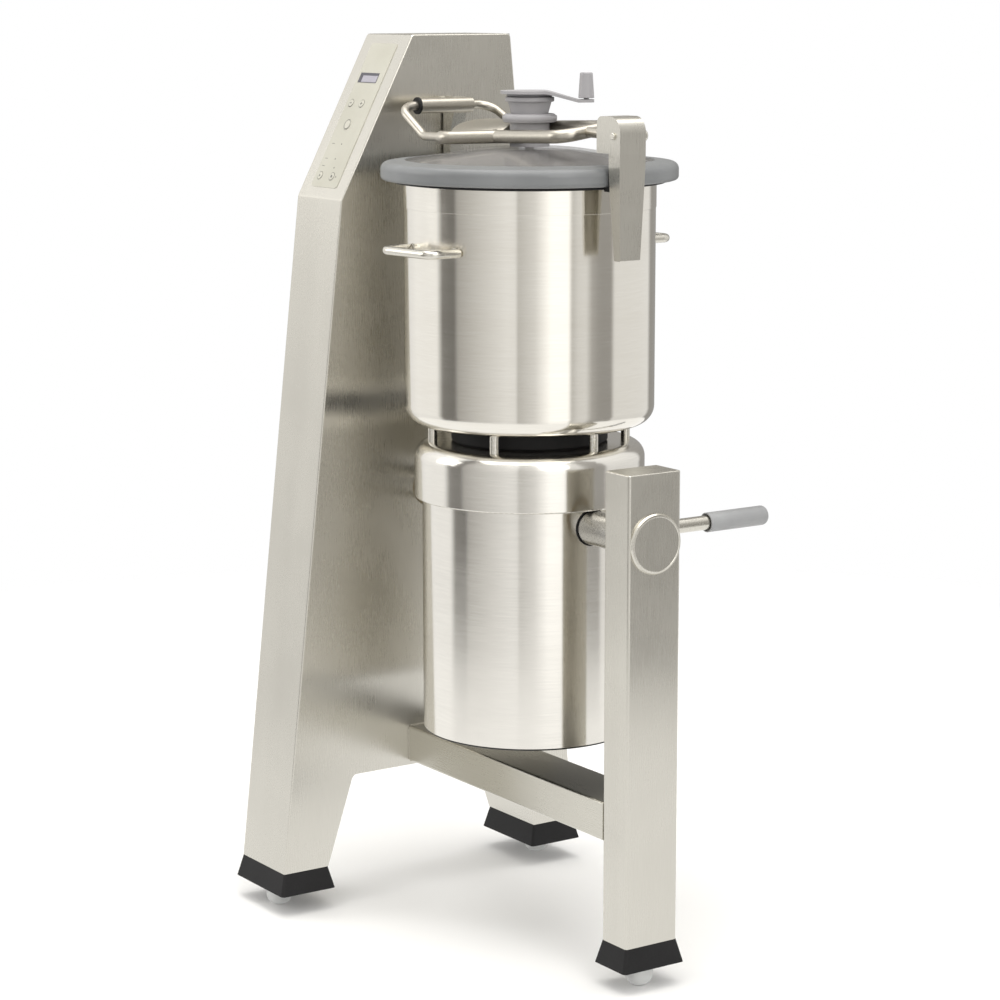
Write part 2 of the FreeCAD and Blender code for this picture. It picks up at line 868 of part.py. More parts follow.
def make_beam_and_post():
    """The crossbeam and the post, both box sections, and the post's top plate and disc."""
    half = size.post_depth / 2
    wall = size.post_wall
    beam = new_body("crossbeam", (-size.column_inner, 0, size.beam_bottom))
    section = new_sketch(beam, "section", "YZ_Plane")
    outline(section, box_outline(-half, half, 0, size.beam_height, size.beam_round))
    outline(section, box_outline(wall - half, half - wall, wall, size.beam_height - wall))
    pad(beam, "tube", section, size.column_inner + size.post_inner)
    top = size.post_top - size.sheet_wall
    post = new_body("post_shell", (size.post_inner, 0, size.leg_bottom))
    plan = new_sketch(post, "section", "XY_Plane")
    outline(plan, box_outline(0, size.post_width, -half, half, size.post_round))
    outline(plan, box_outline(wall, size.post_width - wall, wall - half, half - wall))
    pad(post, "tube", plan, top - size.leg_bottom)
    hub = new_sketch(post, "bush_hole", "YZ_Plane")
    circle(hub, 0, size.pivot_height - size.leg_bottom, bush_radius + size.weld_gap)
    pocket(post, "bush_cut", hub, wall * 2, both=True)
    far = new_sketch(post, "stub_hole", "YZ_Plane", size.post_width)
    circle(far, 0, size.pivot_height - size.leg_bottom, size.index_radius + size.weld_gap)
    pocket(post, "stub_cut", far, wall * 2, both=True)
    cap = plate("post_cap", "XY_Plane", box_outline(0, size.post_width, -half, half, size.post_round),
                size.sheet_wall, (size.post_inner, 0, top))

    def upper_rim(edge, middle):
        return abs(edge.BoundBox.ZMin - SIZES["sheet_wall"]) < 0.01

    round_edges(cap, size.sheet_wall * 0.7, upper_rim)
    edge = size.disc_wall
    disc = [[0, 0], [size.disc_radius, 0], [size.disc_radius, edge, edge * 0.6], [0, edge]]
    turned("post_disc", disc, (post_outer, 0, size.pivot_height), ALONG_X)


def make_shoes():
    """Black tapered shoes under both legs and the post, and the domed feet under them."""
    height = size.leg_bottom - size.shoe_bottom
    leg = size.leg_width
    shoes = (
        ("front_shoe", column_middle, -size.column_foot_front + leg / 2, size.column_width, leg),
        ("rear_shoe", column_middle, size.column_foot_front - leg / 2, size.column_width, leg),
        ("post_shoe", post_middle, as_size(0), size.post_width, size.post_depth),
    )
    flare = size.shoe_flare
    made = {}
    for name, across, back, width, depth in shoes:
        body = new_body(name, (across, back, size.shoe_bottom))
        made[name] = body
        low = new_sketch(body, "low", "XY_Plane")
        half_x = width / 2 + flare
        half_y = depth / 2 + flare
        outline(low, box_outline(-half_x, half_x, -half_y, half_y, 6))
        high = new_sketch(body, "high", "XY_Plane", height)
        outline(high, box_outline(-width / 2, width / 2, -depth / 2, depth / 2, 3))
        loft = body.newObject("PartDesign::AdditiveLoft", f"{name}_loft")
        loft.Profile = low
        loft.Sections = [high]
    feet = (
        ("front_foot", column_middle, -size.foot_place),
        ("rear_foot", column_middle, size.foot_place),
        ("post_foot", post_middle, 0),
    )
    for name, across, back in feet:
        profile = [
            [0, 0],
            [size.foot_radius, 0, size.foot_radius - size.foot_flat],
            [size.foot_radius, size.shoe_bottom],
            [0, size.shoe_bottom],
        ]
        made[name] = turned(name, profile, (across, back, 0))
    group("leg_shoes", [made["front_shoe"], made["rear_shoe"]])
    group("domed_feet", [made["front_foot"], made["rear_foot"], made["post_foot"]])


def bush_profile():
    """A flanged bush: the flange lies at the start, the barrel runs on along the axis."""
    bore = size.journal_radius + size.running_gap
    return [
        [bore, 0],
        [size.bush_flange_radius, 0, 0.8],
        [size.bush_flange_radius, size.bush_flange],
        [bush_radius, size.bush_flange],
        [bush_radius, size.bush_length],
        [bore, size.bush_length],
    ]


def make_pivots():
    """Bushes in the column and the post, the two trunnions and the index stub."""
    post_bush = turned("post_bush", bush_profile(),
                       (size.post_inner - size.bush_flange, 0, size.pivot_height), ALONG_X)
    column_bush = turned("column_bush", bush_profile(),
                         (size.bush_flange - size.column_inner, 0, size.pivot_height), AGAINST_X)
    group("pivot_bushes", [post_bush, column_bush])
    inside = size.bowl_axis + size.housing_radius - size.housing_wall * 3
    shoulder = size.post_inner - size.bush_flange - size.seat_gap
    depth = size.index_start - 5
    profile = [
        [size.journal_bore, depth - inside],
        [size.journal_bore, shoulder - inside + size.journal_length],
        [size.journal_radius, shoulder - inside + size.journal_length, 1],
        [size.journal_radius, shoulder - inside],
        [size.trunnion_radius, shoulder - inside],
        [size.trunnion_radius, 0],
        [0, 0],
        [0, depth - inside],
    ]
    post_side = turned("post_trunnion", profile, (inside, 0, size.pivot_height), ALONG_X)
    bore = new_sketch(post_side, "lever_hole", "XZ_Plane")
    circle(bore, 0, size.lever_place - inside, size.lever_radius + size.weld_gap)
    pocket(post_side, "lever_cut", bore, size.trunnion_radius * 2)
    far_inside = size.bowl_axis - size.housing_radius + size.housing_wall * 3
    far_shoulder = size.bush_flange - size.column_inner + size.seat_gap
    length = far_inside - far_shoulder
    profile = [
        [size.journal_bore, 0],
        [size.trunnion_radius, 0],
        [size.trunnion_radius, length],
        [size.journal_radius, length],
        [size.journal_radius, length + size.journal_length, 1],
        [size.journal_bore, length + size.journal_length],
    ]
    turned("column_trunnion", profile, (far_inside, 0, size.pivot_height), AGAINST_X)
    make_index_stub()


def make_index_stub():
    """A fixed stub inside the post trunnion, with three notches for the lever's pin."""
    end = post_outer - size.post_wall
    start = size.index_start
    profile = [
        [0, 0],
        [size.index_radius, 0, 1],
        [size.index_radius, end - start - 4],
        [size.index_flange, end - start - 4],
        [size.index_flange, end - start],
        [size.index_radius, end - start],
        [size.index_radius, post_outer - start],
        [0, post_outer - start],
    ]
    stub = turned("index_stub", profile, (start, 0, size.pivot_height), ALONG_X)
    notch = new_sketch(stub, "notch", "XZ_Plane", -size.index_radius - 1)
    circle(notch, 0, size.lever_place - start, size.index_notch)
    cut = pocket(stub, "notch_cut", notch, size.index_notch_depth + 1, reverse=True)
    ring_array(stub, cut, 3, sweep=90)


def make_lever():
    """The tilt lever: a tube in the trunnion, a sliding grip and the pin that it pulls."""
    wall_face = size.journal_bore + size.pin_gap
    seat = (size.lever_place, 0, size.pivot_height)
    tube = [
        [size.lever_bore, wall_face],
        [size.lever_radius, wall_face],
        [size.lever_radius, size.lever_end, 1],
        [size.lever_bore, size.lever_end],
    ]
    turned("lever_rod", tube, seat, ALONG_Y)
    tip = size.index_radius + size.pin_gap
    pin = [
        [0, tip],
        [size.pin_radius, tip, 1.5],
        [size.pin_radius, size.pin_end],
        [0, size.pin_end],
    ]
    turned("lock_pin", pin, seat, ALONG_Y)
    bore = size.lever_radius + size.running_gap
    grip = [
        [size.grip_mouth, size.grip_start],
        [size.grip_radius, size.grip_start, 1],
        [size.grip_radius, size.grip_end, size.grip_round],
        [0, size.grip_end],
        [0, size.pin_end],
        [size.pin_radius + size.weld_gap, size.pin_end],
        [size.pin_radius + size.weld_gap, size.grip_chamber],
        [bore, size.grip_chamber],
        [bore, size.grip_start + size.grip_mouth_depth],
        [size.grip_mouth, size.grip_start + size.grip_mouth_depth],
    ]
    turned("lever_grip", grip, seat, ALONG_Y)


def make_housing():
    """The motor's cylinder, its upper collar with a rounded shoulder and its bottom cover."""
    radius = size.housing_radius
    wall = size.housing_wall
    low = size.housing_bottom
    shell = [
        [radius - wall, low + wall],
        [radius, low + wall],
        [radius, size.housing_seam],
        [radius - wall, size.housing_seam],
    ]
    body = turned("motor_housing", shell, bowl_seat)
    holes = new_sketch(body, "trunnion_holes", "YZ_Plane")
    circle(holes, 0, size.pivot_height, size.trunnion_radius + size.weld_gap)
    pocket(body, "trunnion_cuts", holes, radius * 3, both=True)
    plate_low = size.collar_top - size.collar_plate
    outer = size.collar_radius
    collar = [
        [radius - wall, size.housing_seam],
        [outer, size.housing_seam, 2],
        [outer, size.collar_top, size.collar_round],
        [size.shaft_radius * 1.5, size.collar_top],
        [size.shaft_radius * 1.5, plate_low],
        [outer - wall, plate_low, size.collar_round - wall],
        [outer - wall, size.housing_seam + wall],
        [radius - wall, size.housing_seam + wall],
    ]
    turned("housing_collar", collar, bowl_seat)
    cover = [
        [0, low],
        [radius, low, size.bottom_round * 0.45],
        [radius, low + wall],
        [radius - wall - size.weld_gap, low + wall],
        [radius - wall - size.weld_gap, low + wall * 3],
        [radius - wall * 2, low + wall * 3],
        [radius - wall * 2, low + wall],
        [0, low + wall],
    ]
    turned("housing_bottom", cover, bowl_seat)


def make_motor():
    """Stator, end shields, bearings, rotor and shaft."""
    bore = size.stator_bore
    high_face = size.shield_high
    low_face = size.shield_low + size.shield_wall
    stator = [
        [bore, low_face],
        [size.stator_radius, low_face],
        [size.stator_radius, high_face],
        [bore, high_face],
    ]
    turned("motor_stator", stator, bowl_seat)
    shields = []
    bearings = []
    for name, low in (("lower_shield", size.shield_low), ("upper_shield", size.shield_high)):
        flange = size.housing_radius - size.housing_wall - size.weld_gap
        shield = [
            [size.bearing_radius + size.weld_gap, low],
            [flange, low],
            [flange, low + size.shield_wall],
            [size.bearing_radius + size.weld_gap, low + size.shield_wall],
        ]
        shields.append(turned(name, shield, bowl_seat))
    drop = (size.bearing_height - size.shield_wall) / 2
    for name, low in (("lower_bearing", size.shield_low), ("upper_bearing", size.shield_high)):
        bearing = [
            [size.shaft_radius + size.running_gap, low - drop],
            [size.bearing_radius, low - drop, 1],
            [size.bearing_radius, low - drop + size.bearing_height, 1],
            [size.shaft_radius + size.running_gap, low - drop + size.bearing_height],
        ]
        bearings.append(turned(name, bearing, bowl_seat))
    group("motor_shields", shields)
    group("shaft_bearings", bearings)
    core = size.shaft_radius + size.weld_gap
    rotor = [
        [core, low_face + 20],
        [bore - size.air_gap, low_face + 20],
        [bore - size.air_gap, high_face - 20],
        [core, high_face - 20],
    ]
    turned("motor_rotor", rotor, bowl_seat)
    shaft = [
        [0, size.shaft_bottom],
        [size.shaft_radius, size.shaft_bottom, 1],
        [size.shaft_radius, size.hub_top],
        [0, size.hub_top],
    ]
    turned("motor_shaft", shaft, bowl_seat)


def make_bowl():
    """The bowl, its rim band, the studs and neck under it and its two handles."""
    outer = size.bowl_radius
    wall = size.bowl_wall
    low = size.bowl_bottom
    hole = size.neck_collar + size.weld_gap
    section = [
        [hole, low],
        [outer, low, size.bowl_round],
        [outer, size.bowl_seam],
        [outer - wall, size.bowl_seam],
        [outer - wall, low + wall, size.bowl_round - wall],
        [hole, low + wall],
    ]
    turned("bowl", section, bowl_seat)
    step = size.band_step
    band = [
        [outer - wall, size.bowl_seam],
        [outer + step, size.bowl_seam, 0.5],
        [outer + step, size.bowl_edge, 1.5],
        [outer - wall, size.bowl_edge, 1.5],
    ]
    turned("bowl_rim_band", band, bowl_seat)
    neck = [
        [size.shaft_radius + size.seat_gap, size.collar_top],
        [size.neck_radius, size.collar_top, 3],
        [size.neck_radius, low],
        [size.neck_collar, low],
        [size.neck_collar, size.neck_top, 2],
        [size.shaft_radius + size.seat_gap, size.neck_top],
    ]
    turned("drive_neck", neck, bowl_seat)
    studs = new_body("bowl_studs", (size.bowl_axis, 0, size.collar_top), ((0, 0, 1), size.stud_phase))
    sketch = new_sketch(studs, "plan", "XY_Plane")
    circle(sketch, size.stud_circle, 0, size.stud_radius)
    for quarter in range(1, 6):
        turn_angle = math.radians(60 * quarter)
        circle(sketch, size.stud_circle * round(math.cos(turn_angle), 9),
               size.stud_circle * round(math.sin(turn_angle), 9), size.stud_radius)
    pad(studs, "posts", sketch, low - size.collar_top)
    handles = [make_handle(name, side) for name, side in (("front_handle", -1), ("rear_handle", 1))]
    group("bowl_handles", handles)


def make_handle(name, side):
    """A U of round rod, level, welded to the bowl's wall at both ends."""
    rod = size.handle_rod
    half = size.handle_half
    root_y = root(size.bowl_radius * size.bowl_radius - half * half)
    reach = size.bowl_radius + size.handle_reach - rod
    bend = size.handle_bend.value
    path = rounded_path([
        Vector(-half.value, side * (root_y.value + 0.4), 0),
        Vector(-half.value, side * reach.value, 0),
        Vector(half.value, side * reach.value, 0),
        Vector(half.value, side * (root_y.value + 0.4), 0),
    ], [bend, bend])
    shape = swept_rod(path, rod.value)
    wall = Part.makeCylinder(size.bowl_radius.value + size.weld_gap.value, rod.value * 4,
                             Vector(0, 0, -rod.value * 2))
    shape = shape.cut(wall)
    return finish_feature(name, shape, (size.bowl_axis, 0, size.handle_height), size.handle_turn)


def rounded_path(points, radii):
    """Straight runs through the points, joined by a tangent arc at every inner point."""
    edges = []
    start = points[0]
    for index, radius in enumerate(radii, start=1):
        corner = points[index]
        first = tangent_point(corner, points[index - 1], radius, points[index + 1])
        last = tangent_point(corner, points[index + 1], radius, points[index - 1])
        inward = ((first + last) * 0.5 - corner).normalize()
        reach = math.sqrt(radius ** 2 + (first - corner).Length ** 2)
        crown = corner + inward * (reach - radius)
        if (first - start).Length > 1e-6:
            edges.append(Part.makeLine(start, first))
        edges.append(Part.Arc(first, crown, last).toShape())
        start = last
    edges.append(Part.makeLine(start, points[-1]))
    return Part.Wire(edges)


def swept_rod(path, radius):
    """A round rod along a path of lines and arcs."""
    first = path.Edges[0]
    start = first.valueAt(first.FirstParameter)
    heading = first.tangentAt(first.FirstParameter)
    disc = Part.Wire([Part.makeCircle(radius, start, heading)])
    return path.makePipeShell([disc], True, True)


def finish_feature(name, shape, base, angle=0):
    """A piece whose shape comes from Part's own functions, put in its place."""
    feature = doc.addObject("Part::Feature", name)
    feature.Label = name
    feature.Shape = shape
    place(feature, base, angle=angle)
    pieces.append(feature)
    return feature


def make_knife():
    """The knife: a skirted hub over the neck, three curved blades and the top nut."""
    bore = size.shaft_radius + size.weld_gap
    inner = size.neck_collar + 1.5
    hub = [
        [inner, size.skirt_bottom],
        [size.skirt_radius, size.skirt_bottom],
        [size.skirt_radius, size.skirt_top, 3],
        [size.hub_radius, size.skirt_top + 3, 4],
        [size.hub_radius, size.hub_top, 3],
        [bore, size.hub_top],
        [bore, size.neck_top + 2],
        [inner, size.neck_top + 2],
    ]
    turned("knife_hub", hub, bowl_seat)
    nut = [
        [0, size.hub_top],
        [size.knife_nut_radius, size.hub_top],
        [size.knife_nut_radius, size.hub_top + size.knife_nut_height, 6],
        [0, size.hub_top + size.knife_nut_height],
    ]
    turned("knife_nut", nut, bowl_seat)
    names = ("lower_blade", "middle_blade", "upper_blade")
    blades = []
    for index, name in enumerate(names):
        ring = size.skirt_radius if index == 0 else size.hub_radius
        height = size.blade_first + size.blade_step * index
        if index:
            height = height + size.blade_clear
        reach = size.blade_reach - size.blade_shorter * index
        blades.append(make_blade(name, ring, height, 120 * index, reach))
    group("knife_blades", blades)


def make_blade(name, ring, height, angle, reach):
    """One blade: a ring round the hub and a curved arm that sweeps back to its tip."""
    body = new_body(name, (size.bowl_axis, 0, height), ((0, 0, 1), angle))
    collar = new_sketch(body, "collar", "XY_Plane")
    circle(collar, 0, 0, ring + size.blade_ring)
    circle(collar, 0, 0, ring + size.weld_gap)
    pad(body, "ring", collar, size.blade_wall)
    arm = new_sketch(body, "arm", "XY_Plane")
    start = ring + size.blade_ring / 2
    point = size.blade_point
    outline(arm, [
        [start, -size.blade_root],
        [reach * 0.62, -size.blade_sweep, reach * 0.55],
        [reach, 0, point * 0.4],
        [reach - point, point * 0.6, point * 0.6],
        [reach * 0.6, -point / 2, reach * 0.5],
        [start, size.blade_root],
    ])
    pad(body, "arm_pad", arm, size.blade_wall)
    return body


def make_lid():
    """Seal, rim, clear dome and the hub that carries the wiper."""
    wall = size.seal_height
    low = size.bowl_edge + size.seat_gap
    seal = [
        [size.seal_inner, low, 1],
        [size.seal_outer, low, 1],
        [size.seal_outer, low + wall],
        [size.seal_inner, low + wall],
    ]
    turned("lid_seal", seal, bowl_seat)
    rim = [
        [size.rim_inner, size.lid_bottom],
        [size.rim_radius, size.lid_bottom, 6],
        [size.rim_radius, size.rim_top, size.rim_round],
        [size.rim_inner + size.rim_ledge, size.dome_edge + 1, 1.5],
        [size.rim_inner + size.rim_ledge, size.dome_edge - size.dome_wall],
        [size.rim_inner, size.dome_edge - size.dome_wall],
    ]
    turned("lid_rim", rim, bowl_seat)
    edge = size.rim_inner + size.rim_ledge - size.weld_gap
    thick = size.dome_wall
    centre_hole = size.wiper_shaft + size.running_gap
    dome = [
        [centre_hole, size.dome_top - thick],
        [size.dome_flat, size.dome_top - thick, 400],
        [edge, size.dome_edge - thick],
        [edge, size.dome_edge],
        [size.dome_flat, size.dome_top, 400],
        [centre_hole, size.dome_top],
    ]
    turned("lid_dome", dome, bowl_seat)
    hub = [
        [centre_hole, size.dome_top],
        [size.stem_radius, size.dome_top],
        [size.stem_radius, size.flange_bottom],
        [size.flange_radius, size.flange_bottom, 2],
        [size.flange_radius, size.flange_top, 5],
        [size.cup_low_radius, size.flange_top],
        [size.cup_high_radius, size.cup_top, 2],
        [centre_hole, size.cup_top],
    ]
    turned("lid_hub", hub, bowl_seat)


def make_lid_frame():
    """Hinge sleeve and upright on the motor's collar, yoke rod and cast arm on the lid."""
    pivot = (-size.hinge_place, 0, size.hinge_height)
    sleeve = [
        [size.yoke_rod + size.running_gap, -size.sleeve_half],
        [size.sleeve_radius, -size.sleeve_half, 1],
        [size.sleeve_radius, size.sleeve_half, 1],
        [size.yoke_rod + size.running_gap, size.sleeve_half],
    ]
    turned("hinge_sleeve", sleeve, pivot, ALONG_Y)
    make_upright()
    make_yoke()
    make_arm()


def make_upright():
    """The welded upright that carries the hinge sleeve, seated on the collar's side."""
    back = -size.upright_back
    front = -size.upright_front
    tab = -size.hinge_place - size.sleeve_radius
    top = size.hinge_height + size.sleeve_radius
    foot = -size.upright_foot
    low = size.upright_low
    profile = [
        [back, low, 6],
        [foot, low],
        [foot, low + size.upright_foot_height],
        [front, low + size.upright_knee, size.upright_knee_round],
        [front, size.hinge_height - 44, 10],
        [tab, size.hinge_height - 14],
        [tab, top, 3],
        [back, top, 8],
    ]
    body = new_body("hinge_upright")
    sketch = new_sketch(body, "side", "XZ_Plane", -size.upright_near)
    outline(sketch, profile)
    pad(body, "bar", sketch, size.upright_width, reverse=True)
    seat = new_sketch(body, "seat", "XY_Plane")
    circle(seat, size.bowl_axis, 0, size.collar_radius + size.weld_gap)
    pocket(body, "seat_cut", seat, size.collar_top + size.collar_round, reverse=True)


def make_yoke():
    """The lid's hinge rod: through the sleeve, out to both sides and down to the arm."""
    side = size.yoke_half.value
    high = size.hinge_height.value
    level = size.arm_height.value
    hinge = -size.hinge_place.value
    low = -size.yoke_low.value
    end = -size.yoke_end.value - size.running_gap.value
    high_bend = size.yoke_high_bend.value
    low_bend = size.yoke_low_bend.value
    far_level = level + size.arm_rise.value
    path = rounded_path([
        Vector(end, -side, level),
        Vector(low, -side, level),
        Vector(hinge, -side, high),
        Vector(hinge, side, high),
        Vector(low, side, far_level),
        Vector(end, side, far_level),
    ], [low_bend, high_bend, high_bend, low_bend])
    finish_feature("lid_yoke", swept_rod(path, size.yoke_rod.value), (0, 0, 0))


def make_arm():
    """The lid's arm: two stout tubes that close to a long loop, an arched web and a clamp bar.

    Its near side runs straight from the hinge rod's end to the clamp pin, its far side lies higher."""
    tube = size.arm_tube.value
    side = size.yoke_half.value
    near = size.loop_half.value
    start = size.loop_start.value
    end = size.loop_end.value
    back = -size.yoke_end.value
    rise = size.arm_rise.value
    eye = Vector(size.clamp_pin_place.value, 0, size.clamp_pin_height.value)
    pitch = (eye.z - size.arm_height.value) / (eye.x - back)

    def point(along, across, share):
        """A point of the arm: share 0 is its near side's height, 1 is its far side's."""
        return Vector(along, across, size.arm_height.value + pitch * (along - back) + rise * share)

    loop_corners = [
        point(start, 0, 0.5),
        point(start, -near, 0),
        point(end, -near, 0),
        point(end, near, 1),
        point(start, near, 1),
        point(start, 0, 0.5),
    ]
    loop = rounded_path(loop_corners, [size.loop_round.value] * 4)
    shape = swept_rod(loop, size.loop_bar.value)
    for sign, share in ((-1, 0), (1, 1)):
        level = Vector(0, 0, point(back, 0, share).z)
        first = Vector(back, sign * side, level.z)
        knee = Vector(back + 16, sign * side, level.z)
        last = point(start + 22, sign * near, share)
        shape = shape.fuse(swept_rod(rounded_path([first, knee, last], [30]), tube))
    shape = shape.fuse(make_web(point, back, start + 22, side, near))
    bar_start = point(end, 0, 0.5)
    reach = eye - bar_start
    shape = shape.fuse(Part.makeCylinder(size.link_bar.value, reach.Length, bar_start, reach))
    eye_half = size.clamp_eye_half.value
    eye_base = eye - Vector(0, eye_half, 0)
    shape = shape.fuse(Part.makeCylinder(size.clamp_eye.value, eye_half * 2, eye_base, Vector(0, 1, 0)))
    pin_hole = (size.clamp_pin_radius + size.weld_gap).value
    hole = Part.makeCylinder(pin_hole, eye_half * 4, eye - Vector(0, eye_half * 2, 0), Vector(0, 1, 0))
    shape = shape.cut(hole)
    stem_hole = (size.stem_radius + size.weld_gap).value
    flange_seat = (size.flange_bottom - size.weld_gap).value
    seat_radius = (size.flange_radius + size.weld_gap).value
    axis = Vector(size.bowl_axis.value, 0, 0)
    stem = Part.makeCylinder(stem_hole, near * 2, axis + Vector(0, 0, flange_seat - near))
    flange = Part.makeCylinder(seat_radius, near, axis + Vector(0, 0, flange_seat))
    shape = shape.cut(stem).cut(flange).removeSplitter()
    finish_feature("lid_arm", shape, (0, 0, 0))


def make_web(point, back, front, side, near):
    """The arched plate between the tubes, lofted from its wide end to the hub, with a round back."""
    wall = size.web_wall.value
    crown = (size.flange_bottom - size.weld_gap * 2).value
    wide = size.web_half.value
    knee = back + 16
    taper = (side - near) / (front - knee)
    sections = []
    for along in (back - wide / 2, front):
        half = near + taper * (front - along)
        rim = [point(along, -half, 0), Vector(along, 0, crown), point(along, half, 1)]
        drop = Vector(0, 0, wall)
        under = [corner - drop for corner in rim]
        sections.append(Part.Wire([
            Part.Arc(*rim).toShape(),
            Part.makeLine(rim[2], under[2]),
            Part.Arc(under[2], under[1], under[0]).toShape(),
            Part.makeLine(under[0], rim[0]),
        ]))
    arch = Part.makeLoft(sections, True, True)
    low = crown - wide
    corners = [Vector(front, -near, low), Vector(front, near, low),
               Vector(knee, wide, low), Vector(knee, -wide, low)]
    outline_edges = [Part.makeLine(corners[3], corners[0]), Part.makeLine(corners[0], corners[1]),
                     Part.makeLine(corners[1], corners[2])]
    middle = Vector(back - size.web_back.value, 0, low)
    outline_edges.append(Part.Arc(corners[2], middle, corners[3]).toShape())
    plan = Part.Face(Part.Wire(outline_edges)).extrude(Vector(0, 0, wide * 2))
    return arch.common(plan)


def make_wiper():
    """Under the dome: the wiper. Above the hub: the crank and its knob."""
    shaft = [
        [0, size.dome_top - size.dome_wall - size.wiper_height],
        [size.wiper_shaft, size.dome_top - size.dome_wall - size.wiper_height],
        [size.wiper_shaft, size.crank_top - size.crank_wall],
        [0, size.crank_top - size.crank_wall],
    ]
    turned("wiper_shaft", shaft, bowl_seat)
    gap = size.seat_gap
    top = size.dome_top - size.dome_wall - gap * 5
    fall = (size.dome_top - size.dome_edge) * 1.05
    low = size.dome_top - size.dome_wall - size.wiper_height
    reach = size.wiper_reach
    body = new_body("wiper_blade", bowl_seat, ((0, 0, 1), size.crank_angle))
    sketch = new_sketch(body, "side", "XZ_Plane")
    outline(sketch, [
        [-reach, top - fall, 1],
        [-size.dome_flat, top, 60],
        [size.dome_flat, top, 60],
        [reach, top - fall, 1],
        [reach, low + 6, 2],
        [reach - 30, low, 20],
        [30 - reach, low, 20],
        [-reach, low + 6, 2],
    ])
    middle_pad(body, "blade", sketch, size.wiper_wall)
    boss = new_sketch(body, "boss", "XY_Plane", low)
    circle(boss, 0, 0, size.wiper_shaft * 2)
    pad(body, "boss_pad", boss, size.wiper_height - gap * 5)
    bore = new_sketch(body, "bore", "XY_Plane")
    circle(bore, 0, 0, size.wiper_shaft + size.weld_gap)
    pocket(body, "bore_cut", bore, size.crank_top, reverse=True)
    make_crank()


def make_crank():
    """A thin cast crank: a disc over the hub and a drooping arm that carries the knob."""
    top = size.crank_top
    wall = size.crank_wall
    tip = size.crank_reach + size.crank_tip
    drop = size.crank_drop
    body = new_body("crank_arm", (size.bowl_axis, 0, top), ((0, 0, 1), size.crank_angle))
    side = new_sketch(body, "side", "XZ_Plane")
    disc = size.crank_disc
    knee = disc * 0.6
    level_start = size.crank_reach - size.knob_low_radius
    outline(side, [
        [-disc, -wall],
        [knee, -wall, 40],
        [level_start, -wall - drop, 15],
        [tip, -wall - drop],
        [tip, -drop],
        [level_start, -drop, 15],
        [knee, 0, 40],
        [-disc, 0],
    ])
    middle_pad(body, "strip", side, disc * 2)
    trim = new_sketch(body, "trim", "XY_Plane")
    circle(trim, 0, 0, disc * 4)
    teardrop(trim, disc, size.crank_reach, size.crank_tip)
    pocket(body, "trim_cut", trim, size.crank_drop * 4, both=True)
    stud = new_sketch(body, "stud", "XY_Plane", -drop - 1)
    circle(stud, size.crank_reach, 0, size.knob_stud)
    bind_pad = pad(body, "stud_pad", stud, size.knob_height * 0.7)
    bind_pad.Reversed = False
    knob_low = top - drop + 2
    profile = [
        [size.knob_stud + size.running_gap, 0],
        [size.knob_low_radius, 0, 1],
        [size.knob_high_radius, size.knob_height, 2],
        [0, size.knob_height],
        [0, size.knob_height * 0.8],
        [size.knob_stud + size.running_gap, size.knob_height * 0.8],
    ]
    angle = size.crank_angle
    spin = math.radians(angle.value)
    across = Size(size.crank_reach.value * math.cos(spin), f"({size.crank_reach.text} * cos({angle.text}))")
    back = Size(size.crank_reach.value * math.sin(spin), f"({size.crank_reach.text} * sin({angle.text}))")
    turned("crank_knob", profile, (size.bowl_axis + across, back, knob_low))


def teardrop(sketch, big, reach, small):
    """Two arcs and their common tangents: the crank seen from above."""
    tilt = math.asin((big.value - small.value) / reach.value)
    normal = Vector(math.sin(tilt), math.cos(tilt), 0)
    far = Vector(reach.value, 0, 0)
    first = [normal * big.value, far + normal * small.value]
    second = [Vector(p.x, -p.y, 0) for p in first]
    upper = sketch.addGeometry(Part.LineSegment(first[0], first[1]))
    tip = sketch.addGeometry(Part.Arc(first[1], far + Vector(small.value, 0, 0), second[1]))
    lower = sketch.addGeometry(Part.LineSegment(second[1], second[0]))
    back = sketch.addGeometry(Part.Arc(second[0], Vector(-big.value, 0, 0), first[0]))
    joins = ((upper, 2, tip), (lower, 1, tip), (lower, 2, back), (upper, 1, back))
    for line, line_end, arc in joins:
        here = sketch.getPoint(line, line_end)
        arc_end = 1 if (sketch.getPoint(arc, 1) - here).Length < 1e-6 else 2
        sketch.addConstraint(Sketcher.Constraint("Tangent", line, line_end, arc, arc_end))
    for arc, centre, radius in ((tip, reach, small), (back, as_size(0), big)):
        hold_point(sketch, arc, 3, centre, 0)
        row = sketch.addConstraint(Sketcher.Constraint("Radius", arc, radius.value))
        sketch.setExpression(f"Constraints[{row}]", radius.text)


